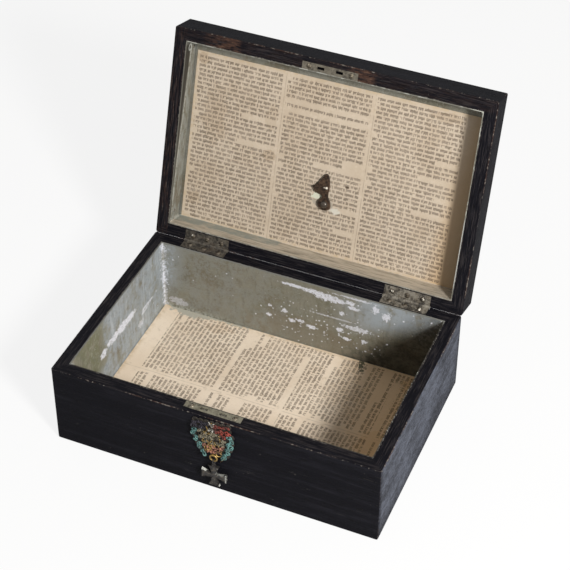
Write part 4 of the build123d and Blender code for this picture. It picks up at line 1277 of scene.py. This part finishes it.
@dataclass
class Clip:
    """The swivel clip inside the lid: a rivet, and a leaf-shaped blade with a blunt barb."""

    axis: tuple[float, float] = (0.003, 0.0336)
    hole: float = 0.00175
    blade_face: float = 0.08825
    blade_back: float = 0.0897
    rounding: float = 0.3  # of an edge, as a share of the blade's thickness
    round_sides: int = 28
    # The blade's outline in millimetres, anticlockwise from its front end.
    outline: tuple[tuple[float, float], ...] = (
        (0.9, 9.0), (2.1, 8.2), (3.4, 8.6), (4.4, 10.9), (5.3, 13.9), (5.7, 17.4), (5.7, 20.6),
        (5.4, 22.8), (5.2, 24.7), (5.3, 26.5), (5.8, 28.4), (7.3, 30.3), (8.1, 32.7), (8.4, 35.0),
        (8.0, 36.7), (6.5, 37.9), (4.5, 38.6), (2.4, 38.7), (0.3, 38.1), (-1.4, 36.9), (-2.3, 35.4),
        (-2.6, 33.6), (-2.3, 31.9), (-1.3, 30.4), (-0.1, 29.3), (0.3, 28.1), (0.1, 26.9), (-0.9, 26.0),
        (-3.4, 25.7), (-5.4, 25.1), (-6.6, 23.9), (-7.6, 22.3), (-8.3, 21.2), (-7.9, 20.3),
        (-5.9, 19.0), (-4.3, 17.4), (-3.0, 15.3), (-1.5, 12.8), (0.0, 10.5),
    )

    def build(self, frame: dict) -> None:
        """Dresses the rivet and shapes the blade."""
        bronze = WornMetal(
            "clip_bronze", (0.078, 0.048, 0.03), (0.01, 0.006, 0.004), 0.1, 0.4, 0.7, 560.0, 0.0006,
            stain=(0.024, 0.013, 0.008), stained=0.9, glint=(0.75, 0.68, 0.58), shine=0.2,
            # painted highlights on the blade
            glints=blots((3.3, 131.3, 1, 1), (1.5, 131.3, 0.6, 0.6, 0.5)),
        )
        rivet = WornMetal(
            "rivet_bronze", (0.075, 0.06, 0.046), (0.01, 0.007, 0.005), 0.35, 0.22, 0.5, 600.0,
            stain=(0.024, 0.015, 0.01), stained=0.6,
        )
        dress(frame, rivet.make(), "clip_rivet")
        blade = self._blade(bronze.make())
        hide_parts("clip_arm")
        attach(blade, "clip")

    def _blade(self, material: bpy.types.Material) -> bpy.types.Object:
        """Cuts the blade from plate, with rounded edges and a hole for the rivet."""
        curve = bpy.data.curves.new("clip_outline", "CURVE")
        curve.dimensions = "2D"
        curve.fill_mode = "BOTH"
        thick = self.blade_back - self.blade_face
        curve.bevel_depth = thick * self.rounding
        curve.bevel_resolution = 2
        curve.extrude = thick * (0.5 - self.rounding)
        curve.offset = -thick * self.rounding
        rim = [(x / 1000.0, y / 1000.0, 0.0) for x, y in self.outline]
        turns = [2.0 * math.pi * step / self.round_sides for step in range(self.round_sides)]
        x, y = self.axis
        hole = [(x + self.hole * math.cos(turn), y + self.hole * math.sin(turn), 0.0) for turn in turns]
        add_spline(curve, rim, "NURBS", True, 4)
        add_spline(curve, hole, "POLY", True, 4)
        mesh = baked(add_object("clip_outline", curve), "clip_blade")
        middle = (self.blade_face + self.blade_back) / 2.0
        for vertex in mesh.vertices:
            vertex.co = opened(vertex.co.x, vertex.co.y, middle - vertex.co.z)
        mesh.flip_normals()
        mesh.materials.clear()
        mesh.materials.append(material)
        return add_object("clip_blade", mesh)


def curl(tree: GeometryTree) -> Wire:
    """Adds a curl of wire: an outer hoop, a leaning inner hoop and a small bead on its edge."""
    radius, wire = tree.size("Radius"), tree.size("Wire")
    outer = tree.hoop(radius, wire, 20)
    lean = {"Geometry": tree.hoop(radius * 0.6, wire * 0.85, 14), "Rotation": (0.75, 0.25, 0.0)}
    inner = tree.move(tree.node("GeometryNodeTransform", None, lean), radius * 0.3, 0.0, wire * 0.9)
    ball = {"Segments": 14, "Rings": 8, "Radius": tree.size("Bead")}
    bead = tree.node("GeometryNodeMeshUVSphere", None, ball)
    return tree.together(outer, inner, tree.move(bead, 0.0 - radius * 0.8, radius * 0.4, wire * 0.9))


@dataclass
class Posy:
    """The wire ornament on the front wall: coloured curls, scrolls and gilt wires on a thin plate."""

    x: float = 0.0009
    z: float = 0.0683
    back: float = -0.0873
    tilt: float = math.radians(3.5)
    plate: float = 0.0008
    pitch: float = 0.00435
    row_pitch: float = 0.0044
    rows: dict[str, tuple[tuple[float, tuple[float, ...]], ...]] = field(default_factory=lambda: {
        "dark": ((0, (-3, -2, -1)), (-1, (-3, -2, -1))),
        "white": ((0, (0,)), (-1, (0,))),
        "red": ((0, (1, 2, 3)), (-1, (1, 2, 3)), (-2, (2,))),
        "cream": ((-2, (-2, -1, 0, 1)), (-3, (-2, -1, 0, 1, 2)), (-4, (-1.5, -0.5, 0.5, 1.5))),
        "pink": ((-5, (-1.5, -0.5, 0.5, 1.5)), (-6, (-1, 0, 1))),
    })
    scroll_start: tuple[float, float] = (0.0146, -0.0088)
    scroll_step: float = 0.0034
    scroll_heading: float = 5.0
    scroll_bend: float = 4.8
    wire: float = 0.00032
    bow_wire: float = 0.00044
    tail: tuple[tuple[float, float, float], ...] = (
        (0.0046, -0.0362, 0.0016), (0.0064, -0.0334, 0.0026), (0.0086, -0.0308, 0.0026),
    )
    bow: tuple[tuple[float, float, float], ...] = (
        (0.0046, -0.0278, 0.0024), (-0.003, -0.024, 0.0018), (0.0005, -0.0205, 0.0016),
    )
    enamels: tuple[Enamel, ...] = (
        Enamel("posy_dark", (0.022, 0.019, 0.027), (0.006, 0.0055, 0.008), (0.26, 0.24, 0.29), 0.5, 0.36),
        Enamel("posy_white", (0.62, 0.6, 0.54), (0.075, 0.066, 0.055), (0.2, 0.17, 0.13), worn=0.55),
        Enamel("posy_red", (0.24, 0.04, 0.026), (0.04, 0.012, 0.01), (0.55, 0.3, 0.22), worn=0.35),
        Enamel("posy_cream", (0.21, 0.19, 0.135), (0.022, 0.018, 0.012), (0.08, 0.06, 0.03), worn=0.7),
        Enamel("posy_pink", (0.36, 0.16, 0.105), (0.045, 0.022, 0.019), (0.12, 0.07, 0.05), worn=0.6),
    )
    teal: Enamel = Enamel(
        "posy_teal", (0.085, 0.19, 0.18), (0.012, 0.038, 0.036), (0.26, 0.34, 0.31), 0.26, 0.5,
    )

    def at(self, across: float, up: float, out: float) -> Vector:
        """Gives a place on the ornament: right and up from its pin, and out from its plate's back."""
        c, s = math.cos(self.tilt), math.sin(self.tilt)
        return Vector((self.x + across * c - up * s, self.back - out, self.z + across * s + up * c))

    def _scrolls(self) -> list[tuple[float, float, float]]:
        """Gives the scrolls' places and the way each one leans."""
        places = []
        for side in (-1.0, 1.0):
            (x, y), heading = self.scroll_start, self.scroll_heading
            for number in range(8):
                swing = 0.001 if number % 2 else -0.0008
                places.append((side * (x + swing), y, side * math.radians(heading + 40.0 * (number % 3))))
                x -= self.scroll_step * math.sin(math.radians(heading))
                y -= self.scroll_step * math.cos(math.radians(heading))
                heading += self.scroll_bend
        return places

    def build(self, frame: dict) -> None:
        """Builds the curls over the plate, and dresses the rest."""
        gilt = WornMetal("posy_gilt", (0.33, 0.215, 0.06), (0.03, 0.018, 0.008), 0.7, 0.3, 0.62, 900.0).make()
        plate = WornMetal("posy_plate", (0.034, 0.029, 0.024), (0.01, 0.009, 0.008), 0.3, 0.55, 0.6, 700.0)
        dress(frame, plate.make(), "ornament_backing")
        dress(frame, gilt, "ornament_pin", "pendant_eye")
        chance = random.Random(7)
        self._curls(chance)
        self._side_curls(chance)
        self._wires(chance, gilt)

    def _curls(self, chance: random.Random) -> None:
        """Sets two curls on each place of each colour's rows."""
        sizes = {"Radius": 0.0015, "Wire": 0.0004, "Bead": 0.00052}
        for (colour, rows), enamel in zip(self.rows.items(), self.enamels):
            places = []
            spots = [(row, column + s) for row, columns in rows for column in columns for s in (-0.25, 0.25)]
            for row, column in spots:
                lean = Vector((chance.uniform(-0.8, 0.8), 0.0, chance.uniform(-0.6, 0.6)))
                across = column * self.pitch + chance.uniform(-0.0005, 0.0005)
                up = row * self.row_pitch + chance.uniform(-0.0012, 0.0006)
                point = self.at(across, up, self.plate + chance.uniform(0.0008, 0.0015))
                size = chance.uniform(0.72, 1.12)
                places.append(Place(point, (FORWARD + lean).normalized(), chance.uniform(0.0, 6.0), size))
            piece = stamp(f"posy_{colour}_curls", places, enamel.make(), sizes, curl)
            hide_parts(f"ornament_{colour}_loops")
            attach(piece, "box")

    def _side_curls(self, chance: random.Random) -> None:
        """Sets the teal curls down both sides."""
        places = []
        for across, up, lean in self._scrolls():
            aim = FORWARD + Vector((chance.uniform(-0.5, 0.5), 0.0, chance.uniform(-0.4, 0.4)))
            point = self.at(across, up, self.plate + chance.uniform(0.0009, 0.0014))
            places.append(Place(point, aim.normalized(), lean, chance.uniform(0.85, 1.15)))
        sizes = {"Radius": 0.00165, "Wire": 0.00052, "Bead": 0.0007}
        piece = stamp("posy_teal_scrolls", places, self.teal.make(), sizes, curl)
        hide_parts("ornament_scrolls")
        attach(piece, "box")

    def _wires(self, chance: random.Random, gilt: bpy.types.Material) -> None:
        """Lays the fine gilt wires over the curls, and a bow of three loops."""
        paths = []
        for _ in range(12):
            across = chance.uniform(-0.007, 0.007)
            up = chance.uniform(-0.028, -0.009)
            path = []
            for _ in range(5):
                path.append(self.at(across, up, self.plate + chance.uniform(0.0014, 0.0026)))
                across += chance.uniform(-0.0022, 0.0022)
                up += chance.uniform(-0.0004, 0.003)
            paths.append(path)
        paths.append([self.at(*place) for place in self.tail])
        wires = wire_run("posy_gilt_wires", paths, self.wire, gilt)
        loops = []
        for across, up, wide in self.bow:
            ring = []
            for angle in (step * math.pi / 6.0 for step in range(12)):
                out = self.plate + 0.0016 + 0.0006 * math.sin(angle * 2.0)
                ring.append(self.at(across + wide * math.cos(angle), up + wide * 0.9 * math.sin(angle), out))
            loops.append(ring)
        bows = wire_run("posy_gilt_bow", loops, self.bow_wire, gilt, closed=True)
        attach(bows, "box")
        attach(wires, "box")


@dataclass
class Pendant:
    """The jump ring and the cross that hangs from it."""

    def build(self, frame: dict) -> None:
        """Dresses the ring, the rim and the core."""
        silver = WornMetal(
            "pendant_silver", (0.062, 0.057, 0.053), (0.008, 0.007, 0.007), 0.1, 0.4, 0.74, 900.0,
            stain=(0.022, 0.019, 0.018), stained=0.8, glint=(0.52, 0.52, 0.48), shine=0.2,
            # painted highlights along the edges of the cross's rim that face up and right
            glints=blots(
                (-3.5, 22.2, 3.6, 1.6), (8.6, 20.8, 4.4, 1, 0.6), (12.2, 17.5, 0.7, 4.6, 0.6),
                (7.4, 11.5, 1, 3.4, 0.9), (5.2, 26.2, 3, 0.8, 0.4),
            ),
        ).make()
        core = WornMetal(
            "cross_black", (0.0085, 0.008, 0.009), (0.0035, 0.0033, 0.0038), 0.0, 0.5, 0.5, 800.0,
        )
        dress(frame, silver, "pendant_ring", "cross_rim")
        dress(frame, core.make(), "cross_core")


def main() -> None:
    """Builds the scene, piece by piece."""
    logging.basicConfig(level=logging.INFO, format="%(message)s")
    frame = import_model()
    Studio().build()
    for part in (WoodenBox(), Linings(), Papers(), Hinges(), Lock(), Clip(), Posy(), Pendant()):
        part.build(frame)
        LOG.info("built %s", type(part).__name__)


if __name__ == "__main__":
    main()
